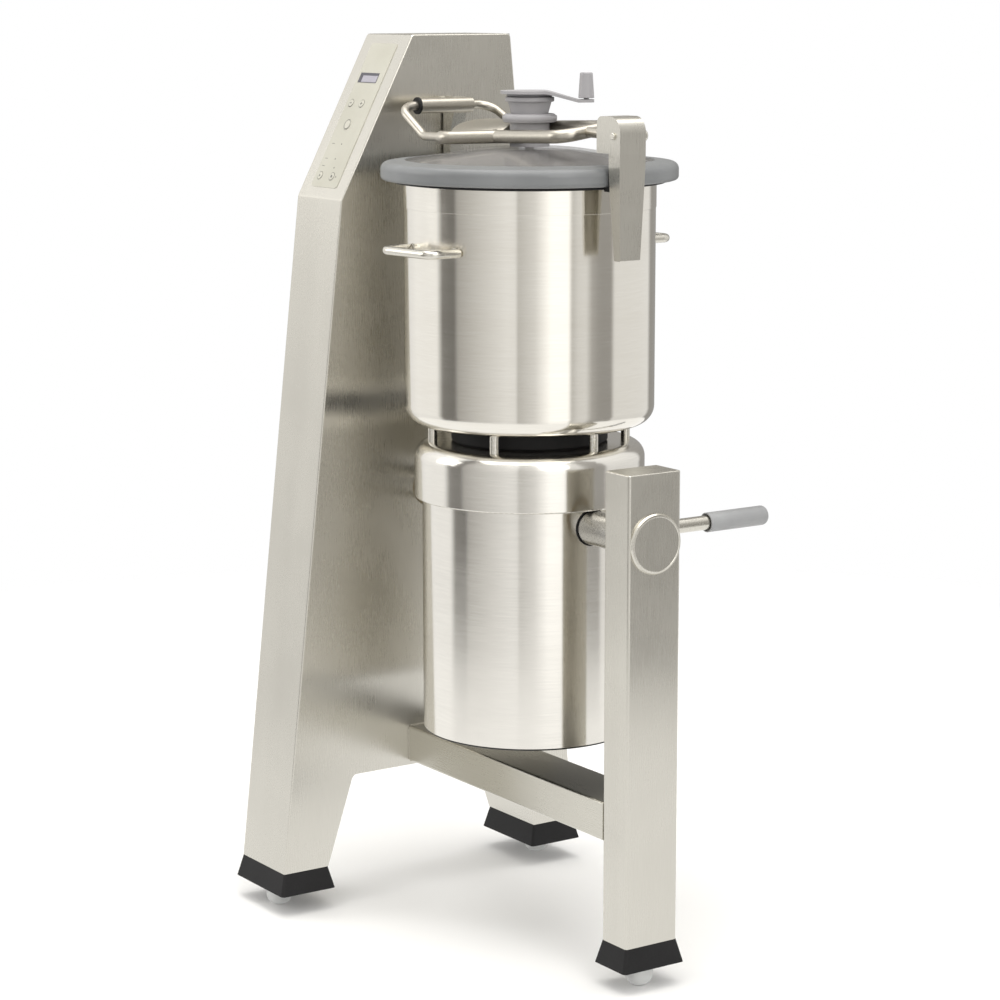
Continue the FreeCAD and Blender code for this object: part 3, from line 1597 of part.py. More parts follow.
def make_clamp():
    """The clamp lever, a channel on a cross pin, with a black toe that hooks the lid's rim."""
    body = new_body("clamp_lever")
    side = new_sketch(body, "side", "XZ_Plane")
    roof = size.clamp_roof
    outline(side, [
        [size.clamp_inner, roof, size.clamp_front_round],
        [size.clamp_outer, roof, size.clamp_back_round],
        [size.clamp_outer, size.clamp_head_bottom],
        [size.clamp_foot_outer, size.clamp_bottom, 1.5],
        [size.clamp_foot_inner, size.clamp_bottom, 1.5],
        [size.clamp_waist, size.clamp_head_bottom - size.clamp_waist_drop],
        [size.clamp_waist, size.clamp_head_bottom],
        [size.clamp_inner, size.clamp_head_bottom, 3],
    ])
    middle_pad(body, "block", side, size.clamp_half * 2)
    taper = new_sketch(body, "taper", "YZ_Plane", size.clamp_inner - 1)
    for sign in (-1, 1):
        outline(taper, [
            [size.clamp_half * sign, size.clamp_head_bottom - 20],
            [size.clamp_half * (1.5 * sign), size.clamp_head_bottom - 20],
            [size.clamp_half * (1.5 * sign), size.clamp_bottom - 1],
            [size.clamp_foot_half * sign, size.clamp_bottom - 1],
        ])
    pocket(body, "taper_cut", taper, size.clamp_outer, reverse=True)
    inner_roof = roof - size.clamp_roof_wall
    channel = new_sketch(body, "channel", "XZ_Plane")
    cheek = size.clamp_cheek
    outline(channel, [
        [size.clamp_inner - 1, inner_roof],
        [size.clamp_outer - cheek, inner_roof, size.clamp_back_round - cheek],
        [size.clamp_outer - cheek, size.clamp_head_bottom],
        [size.clamp_foot_outer - cheek, size.clamp_bottom + cheek * 2],
        [size.clamp_foot_inner - 6, size.clamp_bottom + cheek * 2],
        [size.clamp_waist - 6, size.clamp_head_bottom - size.clamp_waist_drop],
        [size.clamp_inner - 1, size.clamp_head_bottom - 1],
    ])
    pocket(body, "channel_cut", channel, (size.clamp_foot_half - cheek) * 2, both=True)
    pin_hole = new_sketch(body, "pin_hole", "XZ_Plane")
    circle(pin_hole, size.clamp_pin_place, size.clamp_pin_height,
           size.clamp_pin_radius + size.running_gap)
    pocket(body, "pin_cut", pin_hole, size.clamp_half * 3, both=True)
    pin = [
        [0, -size.clamp_half - 3],
        [size.clamp_pin_radius, -size.clamp_half - 3, 1],
        [size.clamp_pin_radius, size.clamp_half + size.seat_gap],
        [size.pin_head_radius, size.clamp_half + size.seat_gap, 1],
        [size.pin_head_radius, size.clamp_half + size.pin_head_length, 5],
        [0, size.clamp_half + size.pin_head_length],
    ]
    turned("clamp_pin", pin, (size.clamp_pin_place, 0, size.clamp_pin_height), ALONG_Y)
    make_pad()


def make_pad():
    """The rubber toe: a strip down the rim's edge with a foot under it."""
    low = size.lid_bottom - size.seat_gap
    wall = size.pad_wall
    rim_edge = size.bowl_axis + size.rim_radius + size.seat_gap * 2
    body = new_body("clamp_pad")
    side = new_sketch(body, "side", "XZ_Plane")
    outline(side, [
        [size.pad_toe, low],
        [size.pad_toe, low - wall * 1.2, 2],
        [size.clamp_waist, low - wall * 1.2],
        [size.clamp_waist, size.rim_top],
        [rim_edge, size.rim_top, 2],
        [rim_edge, low],
    ])
    middle_pad(body, "toe", side, size.pad_half * 2)


def group(name, members):
    """Repeats of one part kept together as separate solids under one name."""
    for member in members:
        pieces.remove(member)
        member.Label = member.Name + "_single"
    compound = doc.addObject("Part::Compound", name)
    compound.Label = name
    compound.Links = members
    pieces.append(compound)
    return compound


def check_document():
    """Stop at a feature that failed or a piece that isn't one sound solid group."""
    doc.recompute()
    for item in doc.Objects:
        state = " ".join(item.State)
        if "Invalid" in state or "Error" in state:
            raise RuntimeError(f"{item.Name} failed: {state}")
    for piece in pieces:
        shape = piece.Shape
        if shape.isNull() or not shape.isValid() or not shape.Solids:
            raise RuntimeError(f"{piece.Label} has no sound solid")


def write_parts():
    for piece in pieces:
        piece.Shape.exportStep(f"parts/{piece.Label}.step")


make_column_plates()
make_column_wrap()
make_overlay()
make_keys()
make_column_rest()
make_beam_and_post()
make_shoes()
make_pivots()
make_lever()
make_housing()
make_motor()
make_bowl()
make_knife()
make_lid()
make_lid_frame()
make_wiper()
make_clamp()
check_document()
write_parts()
print(len(pieces), "pieces")
for piece in pieces:
    box = piece.Shape.BoundBox
    print(f"{piece.Label:22s} solids {len(piece.Shape.Solids)} volume {piece.Shape.Volume:12.0f}",
          f"x {box.XMin:.1f} {box.XMax:.1f} y {box.YMin:.1f} {box.YMax:.1f}",
          f"z {box.ZMin:.1f} {box.ZMax:.1f}")
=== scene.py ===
import math

import bmesh
import bpy
import numpy as np
from mathutils import Matrix, Vector


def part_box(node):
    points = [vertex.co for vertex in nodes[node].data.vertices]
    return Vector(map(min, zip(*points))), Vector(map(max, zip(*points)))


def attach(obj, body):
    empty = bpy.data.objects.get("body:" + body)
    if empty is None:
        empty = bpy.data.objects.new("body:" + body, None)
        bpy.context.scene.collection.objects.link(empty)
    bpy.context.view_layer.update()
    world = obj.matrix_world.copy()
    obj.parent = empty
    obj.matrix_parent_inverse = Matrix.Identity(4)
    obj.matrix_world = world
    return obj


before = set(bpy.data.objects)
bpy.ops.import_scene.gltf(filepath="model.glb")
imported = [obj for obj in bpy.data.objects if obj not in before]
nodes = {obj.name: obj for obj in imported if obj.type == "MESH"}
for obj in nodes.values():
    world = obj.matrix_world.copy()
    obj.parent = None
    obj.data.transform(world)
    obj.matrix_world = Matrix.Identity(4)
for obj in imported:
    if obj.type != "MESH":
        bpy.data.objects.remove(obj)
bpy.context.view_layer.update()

# A floor-standing vertical cutter mixer. +X runs from the control column to the post, +Z is up.
# Pieces are worked out in millimetres, from the boxes of the nodes that carry them.
MM = 0.001


def box(node):
    """A node's lowest and highest corners at rest, in millimetres, to a tenth."""
    return [np.round(np.array(corner) / MM, 1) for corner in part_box(node)]


def middle(node):
    """The point halfway between a node's lowest and highest corners."""
    low, high = box(node)
    return (low + high) / 2


X, Y, Z = np.eye(3)
BOWL_AXIS = middle("housing_collar")[0]
PIVOT_HEIGHT = middle("post_disc")[2]


# Camera

def make_camera():
    """The photograph's own viewpoint, fitted to the machine's straight edges."""
    data = bpy.data.cameras.new("camera")
    camera = bpy.data.objects.new("camera", data)
    bpy.context.scene.collection.objects.link(camera)
    right = Vector((0.5629, 0.8265, -0.0006)).normalized()
    back = Vector((0.8129, -0.5535, 0.1812)).normalized()
    up = back.cross(right).normalized()
    right = up.cross(back)
    turn = Matrix((right, up, back)).transposed().to_4x4()
    camera.matrix_world = Matrix.Translation((3.5469, -2.4186, 1.4639)) @ turn
    data.sensor_width = 36
    data.lens = 100.9
    data.shift_x = -0.0100
    data.shift_y = 0.0095
    data.clip_end = 60
    bpy.context.scene.camera = camera


# Colours and shader nodes

def srgb(colour):
    """An sRGB hex colour as linear light: each channel goes through the sRGB curve."""
    parts = [int(colour[i:i + 2], 16) / 255 for i in (1, 3, 5)]
    linear = [c / 12.92 if c <= 0.04045 else ((c + 0.055) / 1.055) ** 2.4 for c in parts]
    return (*linear, 1.0)


def add(tree, kind, sockets=None, **settings):
    """Adds one shader node. A socket takes a number, a colour, a node (its first output) or an output."""
    node = tree.nodes.new("ShaderNode" + kind)
    for name, value in settings.items():
        setattr(node, name, value)
    for name, value in (sockets or {}).items():
        if isinstance(value, bpy.types.Node):
            tree.links.new(value.outputs[0], node.inputs[name])
        elif isinstance(value, bpy.types.NodeSocket):
            tree.links.new(value, node.inputs[name])
        else:
            node.inputs[name].default_value = value
    return node


def new_material(name):
    """An empty node material and its tree."""
    material = bpy.data.materials.new(name)
    material.use_nodes = True
    material.node_tree.nodes.clear()
    return material, material.node_tree


# Noise keeps mostly between these two values, so they are its darkest and lightest
NOISE_SPAN = {"From Min": 0.3, "From Max": 0.7}
# How many times longer than wide a brush line is
GRAIN_LENGTH = 50
# Rolling marks and hand prints: how many to a metre
ROLLING_MARKS = 13.0
HAND_PRINTS = 9.0


def brushed_steel(name, dark, light, roughness, grain, spacing, smear):
    """Stainless steel with a brushed grain: upright, along x, or round the bowl's axis.

    The lines are noise drawn out along the brushing, a spacing in millimetres apart, and the shine
    is smeared across them. Real lines are some 0.1 mm apart: these are as coarse as they need to show.
    A slow noise, longer along the grain, tints the steel with rolling marks, and an even one dulls it
    with hand prints. The tint is the sum of lines and marks."""
    material, tree = new_material(name)
    place = add(tree, "TexCoord").outputs["Object"]
    across = 1 / (spacing * MM)
    along = across / GRAIN_LENGTH
    stretch = {"upright": (across, across, along), "x": (along, across, across),
               "round": (along, along, across)}[grain]
    centred = add(tree, "Mapping", {"Vector": place, "Location": (-BOWL_AXIS * MM, 0, 0)})
    drawn = add(tree, "Mapping", {"Vector": centred, "Scale": stretch})
    lines = add(tree, "TexNoise", {"Vector": drawn, "Scale": 1.0, "Detail": 3.0, "Roughness": 0.6})
    slow_stretch = tuple(share / across for share in stretch)
    slow = add(tree, "Mapping", {"Vector": centred, "Scale": slow_stretch})
    rolling = add(tree, "TexNoise", {"Vector": slow, "Scale": ROLLING_MARKS, "Detail": 3.0,
                                     "Roughness": 0.5})
    hands = add(tree, "TexNoise", {"Vector": place, "Scale": HAND_PRINTS, "Detail": 4.0,
                                   "Roughness": 0.55})
    line_tint = add(tree, "MapRange", {"Value": lines, **NOISE_SPAN, "To Min": 0, "To Max": 1})
    rolling_tint = add(tree, "MapRange", {"Value": rolling, **NOISE_SPAN, "To Min": -0.36, "To Max": 0.36})
    tint = add(tree, "Math", {0: line_tint, 1: rolling_tint})
    colour = add(tree, "Mix", {0: tint, 6: srgb(dark), 7: srgb(light)}, data_type="RGBA").outputs[2]
    line_shine = add(tree, "MapRange", {"Value": lines, **NOISE_SPAN, "To Min": -0.02, "To Max": 0.02})
    hand_shine = add(tree, "MapRange", {"Value": hands, **NOISE_SPAN, "To Min": roughness - 0.02,
                                        "To Max": roughness + 0.04})
    shine = add(tree, "Math", {0: line_shine, 1: hand_shine})
    if grain == "round":
        run = add(tree, "VectorMath", {0: tuple(Z), 1: centred}, operation="CROSS_PRODUCT")
    else:
        # A little of the other two directions, so that faces square to the grain have a direction too
        way = {"upright": (0.02, 0.01, 1), "x": (1, 0.02, 0.01)}[grain]
        run = add(tree, "CombineXYZ", dict(enumerate(way)))
    world_run = add(tree, "VectorTransform", {"Vector": run}, vector_type="VECTOR",
                    convert_from="OBJECT", convert_to="WORLD")
    face = add(tree, "NewGeometry").outputs["Normal"]
    smear_way = add(tree, "VectorMath", {0: world_run, 1: face}, operation="CROSS_PRODUCT")
    bump = add(tree, "Bump", {"Height": lines, "Strength": 0.18, "Distance": 0.01 * MM})
    steel = add(tree, "BsdfPrincipled", {
        "Base Color": colour, "Metallic": 1.0, "Roughness": shine, "Anisotropic": smear,
        "Tangent": smear_way, "Normal": bump})
    add(tree, "OutputMaterial", {"Surface": steel})
    return material


def plain_steel(name, dark, light, roughness, spacing=2.0):
    """Turned, cast or polished metal: an even noise, a spacing in millimetres apart, stands for tool
    marks and handling, and gives the tint, the shine and a slight bump. Real tool marks are finer:
    these are as coarse as they need to show."""
    material, tree = new_material(name)
    place = add(tree, "TexCoord").outputs["Object"]
    marks = add(tree, "TexNoise", {"Vector": place, "Scale": 1 / (spacing * MM), "Detail": 4.0,
                                   "Roughness": 0.6})
    tint = add(tree, "MapRange", {"Value": marks, "From Min": 0.35, "From Max": 0.65})
    colour = add(tree, "Mix", {0: tint, 6: srgb(dark), 7: srgb(light)}, data_type="RGBA").outputs[2]
    shine = add(tree, "MapRange", {"Value": marks, **NOISE_SPAN, "To Min": roughness - 0.05,
                                   "To Max": roughness + 0.06})
    bump = add(tree, "Bump", {"Height": marks, "Strength": 0.2, "Distance": 0.03 * MM})
    metal = add(tree, "BsdfPrincipled", {"Base Color": colour, "Metallic": 1.0, "Roughness": shine,
                                         "Normal": bump})
    add(tree, "OutputMaterial", {"Surface": metal})
    return material


def moulded(name, dark, light, roughness, grit=1.2, depth=0.08, ior=1.5, coat=0.0):
    """A moulded polymer: fine grit from the mould in its bump, soft cloudy colour, low gloss.

    The spacing and the depth of the grit are in millimetres, and coarser than real so that they show."""
    material, tree = new_material(name)
    place = add(tree, "TexCoord").outputs["Object"]
    pits = add(tree, "TexNoise", {"Vector": place, "Scale": 1 / (grit * MM), "Detail": 2.0})
    cloud = add(tree, "TexNoise", {"Vector": place, "Scale": 14.0, "Detail": 3.0})
    tint = add(tree, "MapRange", {"Value": cloud, **NOISE_SPAN})
    colour = add(tree, "Mix", {0: tint, 6: srgb(dark), 7: srgb(light)}, data_type="RGBA").outputs[2]
    shine = add(tree, "MapRange", {"Value": pits, **NOISE_SPAN, "To Min": roughness - 0.05,
                                   "To Max": roughness + 0.06})
    bump = add(tree, "Bump", {"Height": pits, "Strength": 0.3, "Distance": depth * MM})
    polymer = add(tree, "BsdfPrincipled", {"Base Color": colour, "Roughness": shine, "IOR": ior,
                                           "Coat Weight": coat, "Normal": bump})
    add(tree, "OutputMaterial", {"Surface": polymer})
    return material


def clear_sheet(name, tint, haze, alpha, roughness):
    """Clear sheet, slightly hazy from washing: seen through by its alpha, glossy on top."""
    material, tree = new_material(name)
    place = add(tree, "TexCoord").outputs["Object"]
    washed = add(tree, "TexNoise", {"Vector": place, "Scale": 18.0, "Detail": 4.0})
    colour = add(tree, "Mix", {0: washed, 6: srgb(tint), 7: srgb(haze)}, data_type="RGBA").outputs[2]
    shine = add(tree, "MapRange", {"Value": washed, "From Min": 0.35, "From Max": 0.7, "To Min": roughness,
                                   "To Max": roughness + 0.08})
    clear = add(tree, "BsdfPrincipled", {"Base Color": colour, "Roughness": shine, "IOR": 1.585,
                                         "Alpha": alpha})
    add(tree, "OutputMaterial", {"Surface": clear})
    return material


# 304 stainless sheet, No. 4 finish: short upright brush lines, warm grey, soft wide reflections
sheet_steel = brushed_steel("brushed_304_sheet", "#CAC7BE", "#D0CDC4", 0.27, "upright", 0.7, 0.7)
# The same sheet on the beam, with its grain along the tube
beam_steel = brushed_steel("brushed_304_beam", "#C3C0B6", "#CAC7BD", 0.27, "x", 0.7, 0.7)
# Deep-drawn 304, ring polished on the lathe: bright, with reflections drawn out upright
bowl_steel = brushed_steel("ring_polished_304", "#E2DED5", "#E8E5DD", 0.12, "round", 0.8, 0.85)
# Rolled and seam-welded shell of the motor, satin ring finish
shell_steel = brushed_steel("satin_rolled_304", "#DFDCD5", "#E6E3DC", 0.15, "round", 0.9, 0.8)
# Polished stainless rod, as on handles and studs: bright, with soft edges to its reflections
rod_steel = plain_steel("polished_304_rod", "#C9C5BB", "#D8D5CC", 0.24)
# Welded and blasted arm of the lid with its tubes: satin, a little browner
arm_steel = plain_steel("satin_cast_304", "#AFAA9F", "#BEB9AE", 0.33)
# The motor's bottom cover, near black: painted shade under the motor, which the beam's top mirrors
underside_shade_steel = plain_steel("painted_shade_under_motor", "#2E2E2D", "#3B3B39", 0.42)
# Turned steel inside the machine
turned_steel = plain_steel("turned_steel", "#A8A7A3", "#C4C2BD", 0.28)
# Ground knife steel
blade_steel = plain_steel("ground_blade_steel", "#B8B9B8", "#D6D6D4", 0.18, 1.2)
# Weld seam, brushed clean: a little darker and duller than the sheet beside it
weld_steel = plain_steel("brushed_weld_bead", "#A29E93", "#BDB9AE", 0.34, 1.0)
# Bearing bronze, turned and dulled by oil
bush_bronze = plain_steel("oiled_bearing_bronze", "#847863", "#968A75", 0.36)
# Lacquered iron cores
core_iron = moulded("lacquered_core_iron", "#33353A", "#43464C", 0.45)
# Die-cast aluminium, as cast
cast_metal = plain_steel("die_cast_aluminium", "#9A9C9E", "#B3B5B6", 0.45, 0.8)
# Grey moulded polypropylene of the lid's rim, satin
rim_grey = moulded("satin_grey_polypropylene", "#6E7071", "#7A7C7D", 0.38)
# Grey acetal of the hub, crank and wiper: a faint lilac cast
hub_grey = moulded("lilac_grey_acetal", "#989799", "#A4A2A4", 0.40)
# Grey of the ring under the crank, darker than the hub's: painted shade under the crank's disc
crank_shade_grey = moulded("painted_shade_under_crank", "#77767A", "#828185", 0.42)
# The grip's grey polyamide, a little lighter
grip_grey = moulded("grey_polyamide_grip", "#8A8B8C", "#9B9C9D", 0.42, 1.6)
# EPDM rubber of shoes, seals and the clamp's toe: nearly black, dull
black_rubber = moulded("black_epdm_rubber", "#0B0A0B", "#141314", 0.66, 1.4, 0.15, ior=1.42)
# Black polyamide of gland and neck
black_nylon = moulded("black_polyamide", "#17171A", "#242427", 0.42)
# Whitish polyethylene of the domed feet
foot_white = moulded("natural_polyethylene", "#BFC0BF", "#D2D3D2", 0.48)
# Keypad film: polyester with a satin grey-beige print
film_grey = moulded("satin_keypad_film", "#B0AEA1", "#B8B6AA", 0.46, 0.8, 0.03)
# Keys under the same film, a touch lighter
key_grey = moulded("keypad_dome_film", "#B6B4A8", "#BEBCB0", 0.46, 0.8, 0.03)
# Dark grey screen print on the film and on the keys
print_dark = moulded("dark_screen_print", "#4A4A46", "#585751", 0.55, 0.8, 0.02)
# Display glass: smoked acrylic with a faint lilac back light
display_glass = moulded("lilac_display_acrylic", "#8C8993", "#9F9CA6", 0.16, 2.0, 0.01, coat=0.6)
# Dark moulded frame round the display
bezel_dark = moulded("display_bezel", "#3F3E46", "#4B4A52", 0.35)
# Stainless screw heads
screw_steel = plain_steel("stainless_screw_head", "#A9A79F", "#C2C0B8", 0.26, 0.8)
# Clear polycarbonate dome of the lid
dome_clear = clear_sheet("clear_polycarbonate", "#8C8A88", "#A9A7A4", 0.40, 0.06)

FINISHES = {
    sheet_steel: ["column_inner_plate", "column_outer_plate", "column_wrap", "column_rear_cover",
                  "column_arch_liner", "post_shell", "post_cap", "post_disc", "hinge_upright",
                  "clamp_lever"],
    beam_steel: ["crossbeam"],
    bowl_steel: ["bowl", "bowl_rim_band"],
    shell_steel: ["motor_housing", "housing_collar"],
    rod_steel: ["bowl_studs", "bowl_handles", "lever_rod", "clamp_pin"],
    # The bottom cover's near black is painted shade under the motor
    underside_shade_steel: ["housing_bottom"],
    arm_steel: ["lid_yoke", "lid_arm", "hinge_sleeve"],
    turned_steel: ["index_stub", "column_trunnion", "post_trunnion", "lock_pin", "shaft_bearings",
                   "motor_shaft", "wiper_shaft"],
    blade_steel: ["knife_blades"],
    bush_bronze: ["pivot_bushes"],
    core_iron: ["motor_stator", "motor_rotor"],
    cast_metal: ["motor_shields", "drive_unit"],
    rim_grey: ["lid_rim"],
    hub_grey: ["lid_hub", "crank_arm", "crank_knob", "wiper_blade", "knife_hub", "knife_nut"],
    grip_grey: ["lever_grip"],
    black_rubber: ["leg_shoes", "post_shoe", "clamp_pad", "lid_seal"],
    black_nylon: ["supply_gland", "drive_neck"],
    foot_white: ["domed_feet"],
    film_grey: ["control_overlay"],
    key_grey: ["minus_key", "plus_key", "set_key", "start_key", "stop_key"],
    display_glass: ["display_window"],
    dome_clear: ["lid_dome"],
}


def finish_nodes():
    """Every CAD node gets the finish of what it is made of, but the motor's bottom cover is near black as
    painted shade.
    """
    for material, names in FINISHES.items():
        for name in names:
            mesh = nodes[name].data
            mesh.materials.clear()
            mesh.materials.append(material)


# Shapes

def grid_faces(rows, columns, wrap_rows, wrap_columns):
    """Four-cornered faces between neighbours of a grid, which may close on itself either way."""
    row = np.arange(rows if wrap_rows else rows - 1)[:, None]
    column = np.arange(columns if wrap_columns else columns - 1)[None, :]
    next_row = (row + 1) % rows
    next_column = (column + 1) % columns
    corners = [row * columns + column, row * columns + next_column,
               next_row * columns + next_column, next_row * columns + column]
    return np.stack([corner.ravel() for corner in corners], 1)


def grid(points, wrap_rows=False, wrap_columns=False):
    """A shape from rows by columns of points: its corners and its faces."""
    rows, columns = points.shape[:2]
    return points.reshape(-1, 3), grid_faces(rows, columns, wrap_rows, wrap_columns)


def square_axes(axis):
    """Two directions square to an axis and to each other."""
    axis = np.asarray(axis, float) / np.linalg.norm(axis)
    side = np.cross(axis, (0, 0, 1) if abs(axis[2]) < 0.9 else (1, 0, 0))
    side /= np.linalg.norm(side)
    return axis, side, np.cross(axis, side)


def turned(profile, centre, axis, count=72, closed=True, flats=None):
    """A profile turned about an axis: centre + radius (cos a, sin a) across + height along.

    Rows named in flats have their radius over cos(b), b the angle from the nearest of six flats."""
    axis, side, other = square_axes(axis)
    profile = np.asarray(profile, float)
    angle = np.linspace(0, 2 * np.pi, count, endpoint=False)
    radius = np.repeat(profile[:, :1], count, 1)
    if flats:
        from_flat = (angle + np.pi / 6) % (np.pi / 3) - np.pi / 6
        radius[flats] = radius[flats] / np.cos(from_flat)
    across = np.cos(angle)[:, None] * side + np.sin(angle)[:, None] * other
    points = np.asarray(centre, float) + radius[:, :, None] * across + profile[:, 1, None, None] * axis
    return grid(points, wrap_rows=closed, wrap_columns=True)


def bead(path, normal, radius, closed, pitch=2.4, count=8):
    """A rippled weld bead: a round section of radius r (1 + 0.1 sin(2 pi s / pitch)) along a flat path."""
    path = np.asarray(path, float)
    if closed:
        before, after = np.roll(path, 1, 0), np.roll(path, -1, 0)
    else:
        before = np.vstack([path[:1], path[:-1]])
        after = np.vstack([path[1:], path[-1:]])
    along = after - before
    along /= np.linalg.norm(along, axis=1)[:, None]
    normal = np.asarray(normal, float)
    outward = np.cross(along, normal)
    steps = np.linalg.norm(np.diff(path, axis=0), axis=1)
    travelled = np.concatenate([[0], np.cumsum(steps)])
    size = radius * (1 + 0.1 * np.sin(2 * np.pi * travelled / pitch))
    if not closed:
        size[[0, -1]] = 0
    angle = np.linspace(0, 2 * np.pi, count, endpoint=False)
    section = (np.cos(angle)[None, :, None] * outward[:, None, :]
               + np.sin(angle)[None, :, None] * normal[None, None, :])
    return grid(path[:, None, :] + size[:, None, None] * section, closed, True)


def straight(start, end, step=0.6):
    """Points about a step apart on a straight line: start + t (end - start), t from 0 to 1."""
    start, end = np.asarray(start, float), np.asarray(end, float)
    count = max(2, int(np.linalg.norm(end - start) / step))
    return start + np.linspace(0, 1, count)[:, None] * (end - start)


def prism(outline, place, across, up, out, low, high):
    """A flat outline raised from low to high: place + u across + v up + w out, (u, v) on the outline."""
    outline = np.asarray(outline, float)
    flat = np.asarray(place, float) + outline[:, :1] * np.asarray(across) + outline[:, 1:] * np.asarray(up)
    points = np.vstack([flat + low * np.asarray(out), flat + high * np.asarray(out)])
    count = len(outline)
    ring = np.arange(count)
    sides = np.stack([ring, (ring + 1) % count, (ring + 1) % count + count, ring + count], 1)
    return points, sides.tolist() + [ring[::-1].tolist(), (ring + count).tolist()]


def piece(name, shapes, material, body, crease=35):
    """One object of one or more shapes in millimetres, riding on a body, smooth up to the crease angle."""
    points, faces, start = [], [], 0
    for corners, shape_faces in shapes:
        points.append(np.asarray(corners) * MM)
        faces += [[int(i) + start for i in face] for face in shape_faces]
        start += len(corners)
    mesh = bpy.data.meshes.new(name)
    mesh.from_pydata(np.vstack(points).tolist(), [], faces)
    work = bmesh.new()
    work.from_mesh(mesh)
    bmesh.ops.remove_doubles(work, verts=work.verts, dist=1e-7)
    bmesh.ops.recalc_face_normals(work, faces=work.faces)
    work.to_mesh(mesh)
    work.free()
    mesh.polygons.foreach_set("use_smooth", [True] * len(mesh.polygons))
    mesh.set_sharp_from_angle(angle=math.radians(crease))
    mesh.materials.append(material)
    thing = bpy.data.objects.new(name, mesh)
    bpy.context.scene.collection.objects.link(thing)
    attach(thing, body)
    return thing


# Bushes, lips and seals

# A turned piece's profile is radius and height, from the face that it seats on
BUSH_PROFILE = [(7.3, 0.4), (7.7, 0), (12.9, 0), (13.3, 0.5), (13.3, 3.5), (12.9, 4), (7.7, 4), (7.3, 3.6)]


def make_sleeve_bush():
    """A flanged black bush in the near end of the hinge sleeve."""
    hinge = middle("hinge_sleeve")
    near_end = box("hinge_sleeve")[0][1]
    shape = turned(BUSH_PROFILE, (hinge[0], near_end, hinge[2]), -Y)
    piece("sleeve_bush", [shape], black_rubber, "cradle")


CUP_TOP = box("lid_hub")[1][2]
CRANK_RING = [(10, 0.4), (33.5, 0.4), (35, 1.4), (35, 3.6), (33.8, 4.3), (10, 4.3)]


def make_crank_ring():
    """A ring between the hub's cup and the crank's disc, darker than the hub: painted shade under the disc.
    """
    shape = turned(CRANK_RING, (BOWL_AXIS, 0, CUP_TOP), Z)
    # Its darker grey is painted shade under the crank's disc
    piece("crank_ring", [shape], crank_shade_grey, "wiper")


CUP_LIP = [(32.5, -7.6), (36.0, -7.2), (37.0, -6.0), (37.0, -1.6), (36.2, -0.4), (33.5, -0.1)]
FLANGE_LIP = [(38.0, -10.5), (40.5, -10.2), (41.2, -9.0), (41.2, -4.0), (40.5, -2.8), (38.0, -2.5)]
FLANGE_TOP = CUP_TOP - 25


def make_hub_lips():
    """The rolled lips of the hub: one at the mouth of its cup, one round its flange."""
    lips = ((CUP_LIP, CUP_TOP), (FLANGE_LIP, FLANGE_TOP))
    shapes = [turned(lip, (BOWL_AXIS, 0, top), Z) for lip, top in lips]
    piece("hub_lips", shapes, hub_grey, "lid")


DRIP_RING = [(96, 4), (99, 0.3), (117, 0.3), (120, 3), (120, 22), (118, 26.5), (112, 27.6), (96, 27.6)]


def make_drip_ring():
    """The black drip ring round the drive, between the motor's collar and the bowl."""
    collar_top = box("housing_collar")[1][2]
    shape = turned(DRIP_RING, (BOWL_AXIS, 0, collar_top), Z, 120)
    piece("drip_ring", [shape], black_rubber, "cradle")


SEAL_RADIUS = 27.0
SEAL_LIP = 1.2


def seal_ring(side):
    """A lip that lies on the round housing about the pivot: its centre line is
    (sqrt(R^2 - (r sin a)^2), r sin a, r cos a), R the housing's radius and r its own, and its
    section is nearly a circle."""
    housing = box("motor_housing")[1][0] - BOWL_AXIS
    around = np.linspace(0, 2 * np.pi, 96, endpoint=False)[:, None]
    section = np.linspace(0, 2 * np.pi, 12, endpoint=False)[None, :]
    radius = SEAL_RADIUS + SEAL_LIP * np.cos(section)
    proud = SEAL_LIP / 2 + SEAL_LIP * 0.9 * np.sin(section)
    out = np.sqrt(housing ** 2 - (SEAL_RADIUS * np.sin(around)) ** 2) + proud
    along, up = radius * np.sin(around), radius * np.cos(around)
    points = np.stack([BOWL_AXIS + side * out, along, PIVOT_HEIGHT + up], 2)
    return grid(points, True, True)


def make_trunnion_seals():
    """The rubber lips round both trunnions, where they leave the motor's housing."""
    piece("trunnion_seals", [seal_ring(-1), seal_ring(1)], black_rubber, "cradle")


# Post and frame

DISC_EDGE = [(44.1, 0.2), (45.0, 0.2), (45.0, 2.6), (43.2, 5.0), (40.6, 5.5), (39.8, 5.1), (40.6, 4.9),
             (44.1, 2.4)]


def make_disc_edge():
    """The bright rolled edge of the cover disc over the pivot's end."""
    post_face = box("post_disc")[0][0]
    shape = turned(DISC_EDGE, (post_face, 0, PIVOT_HEIGHT), X, 120)
    piece("disc_edge", [shape], rod_steel, "stand")


BEAM_WELD = 1.6
POST_WELD = 1.5
BEAM_CORNER = 3
POST_INSET = 5
WELD_SUNK = 0.4


def make_frame_welds():
    """Weld beads round the crossbeam's end at the column, and above and below it at the post."""
    low, high = box("crossbeam")
    column, post = low[0] + WELD_SUNK, high[0] - WELD_SUNK
    beads = []
    for height in (low[2], high[2]):
        line = straight((post, low[1] + POST_INSET, height), (post, high[1] - POST_INSET, height))
        beads.append(bead(line, Z, POST_WELD, False))
    for side in (low[1], high[1]):
        line = straight((column, side, low[2] + BEAM_CORNER), (column, side, high[2] - BEAM_CORNER))
        beads.append(bead(line, Y, BEAM_WELD, False))
    for height in (low[2], high[2]):
        line = straight((column, low[1] + BEAM_CORNER, height), (column, high[1] - BEAM_CORNER, height))
        beads.append(bead(line, Z, BEAM_WELD, False))
    piece("frame_welds", beads, weld_steel, "stand")


HANDLE_ROD = 6.5
HANDLE_HALF = 58.0
HANDLE_TURN = math.radians(5)
HANDLE_WELD = 1.4


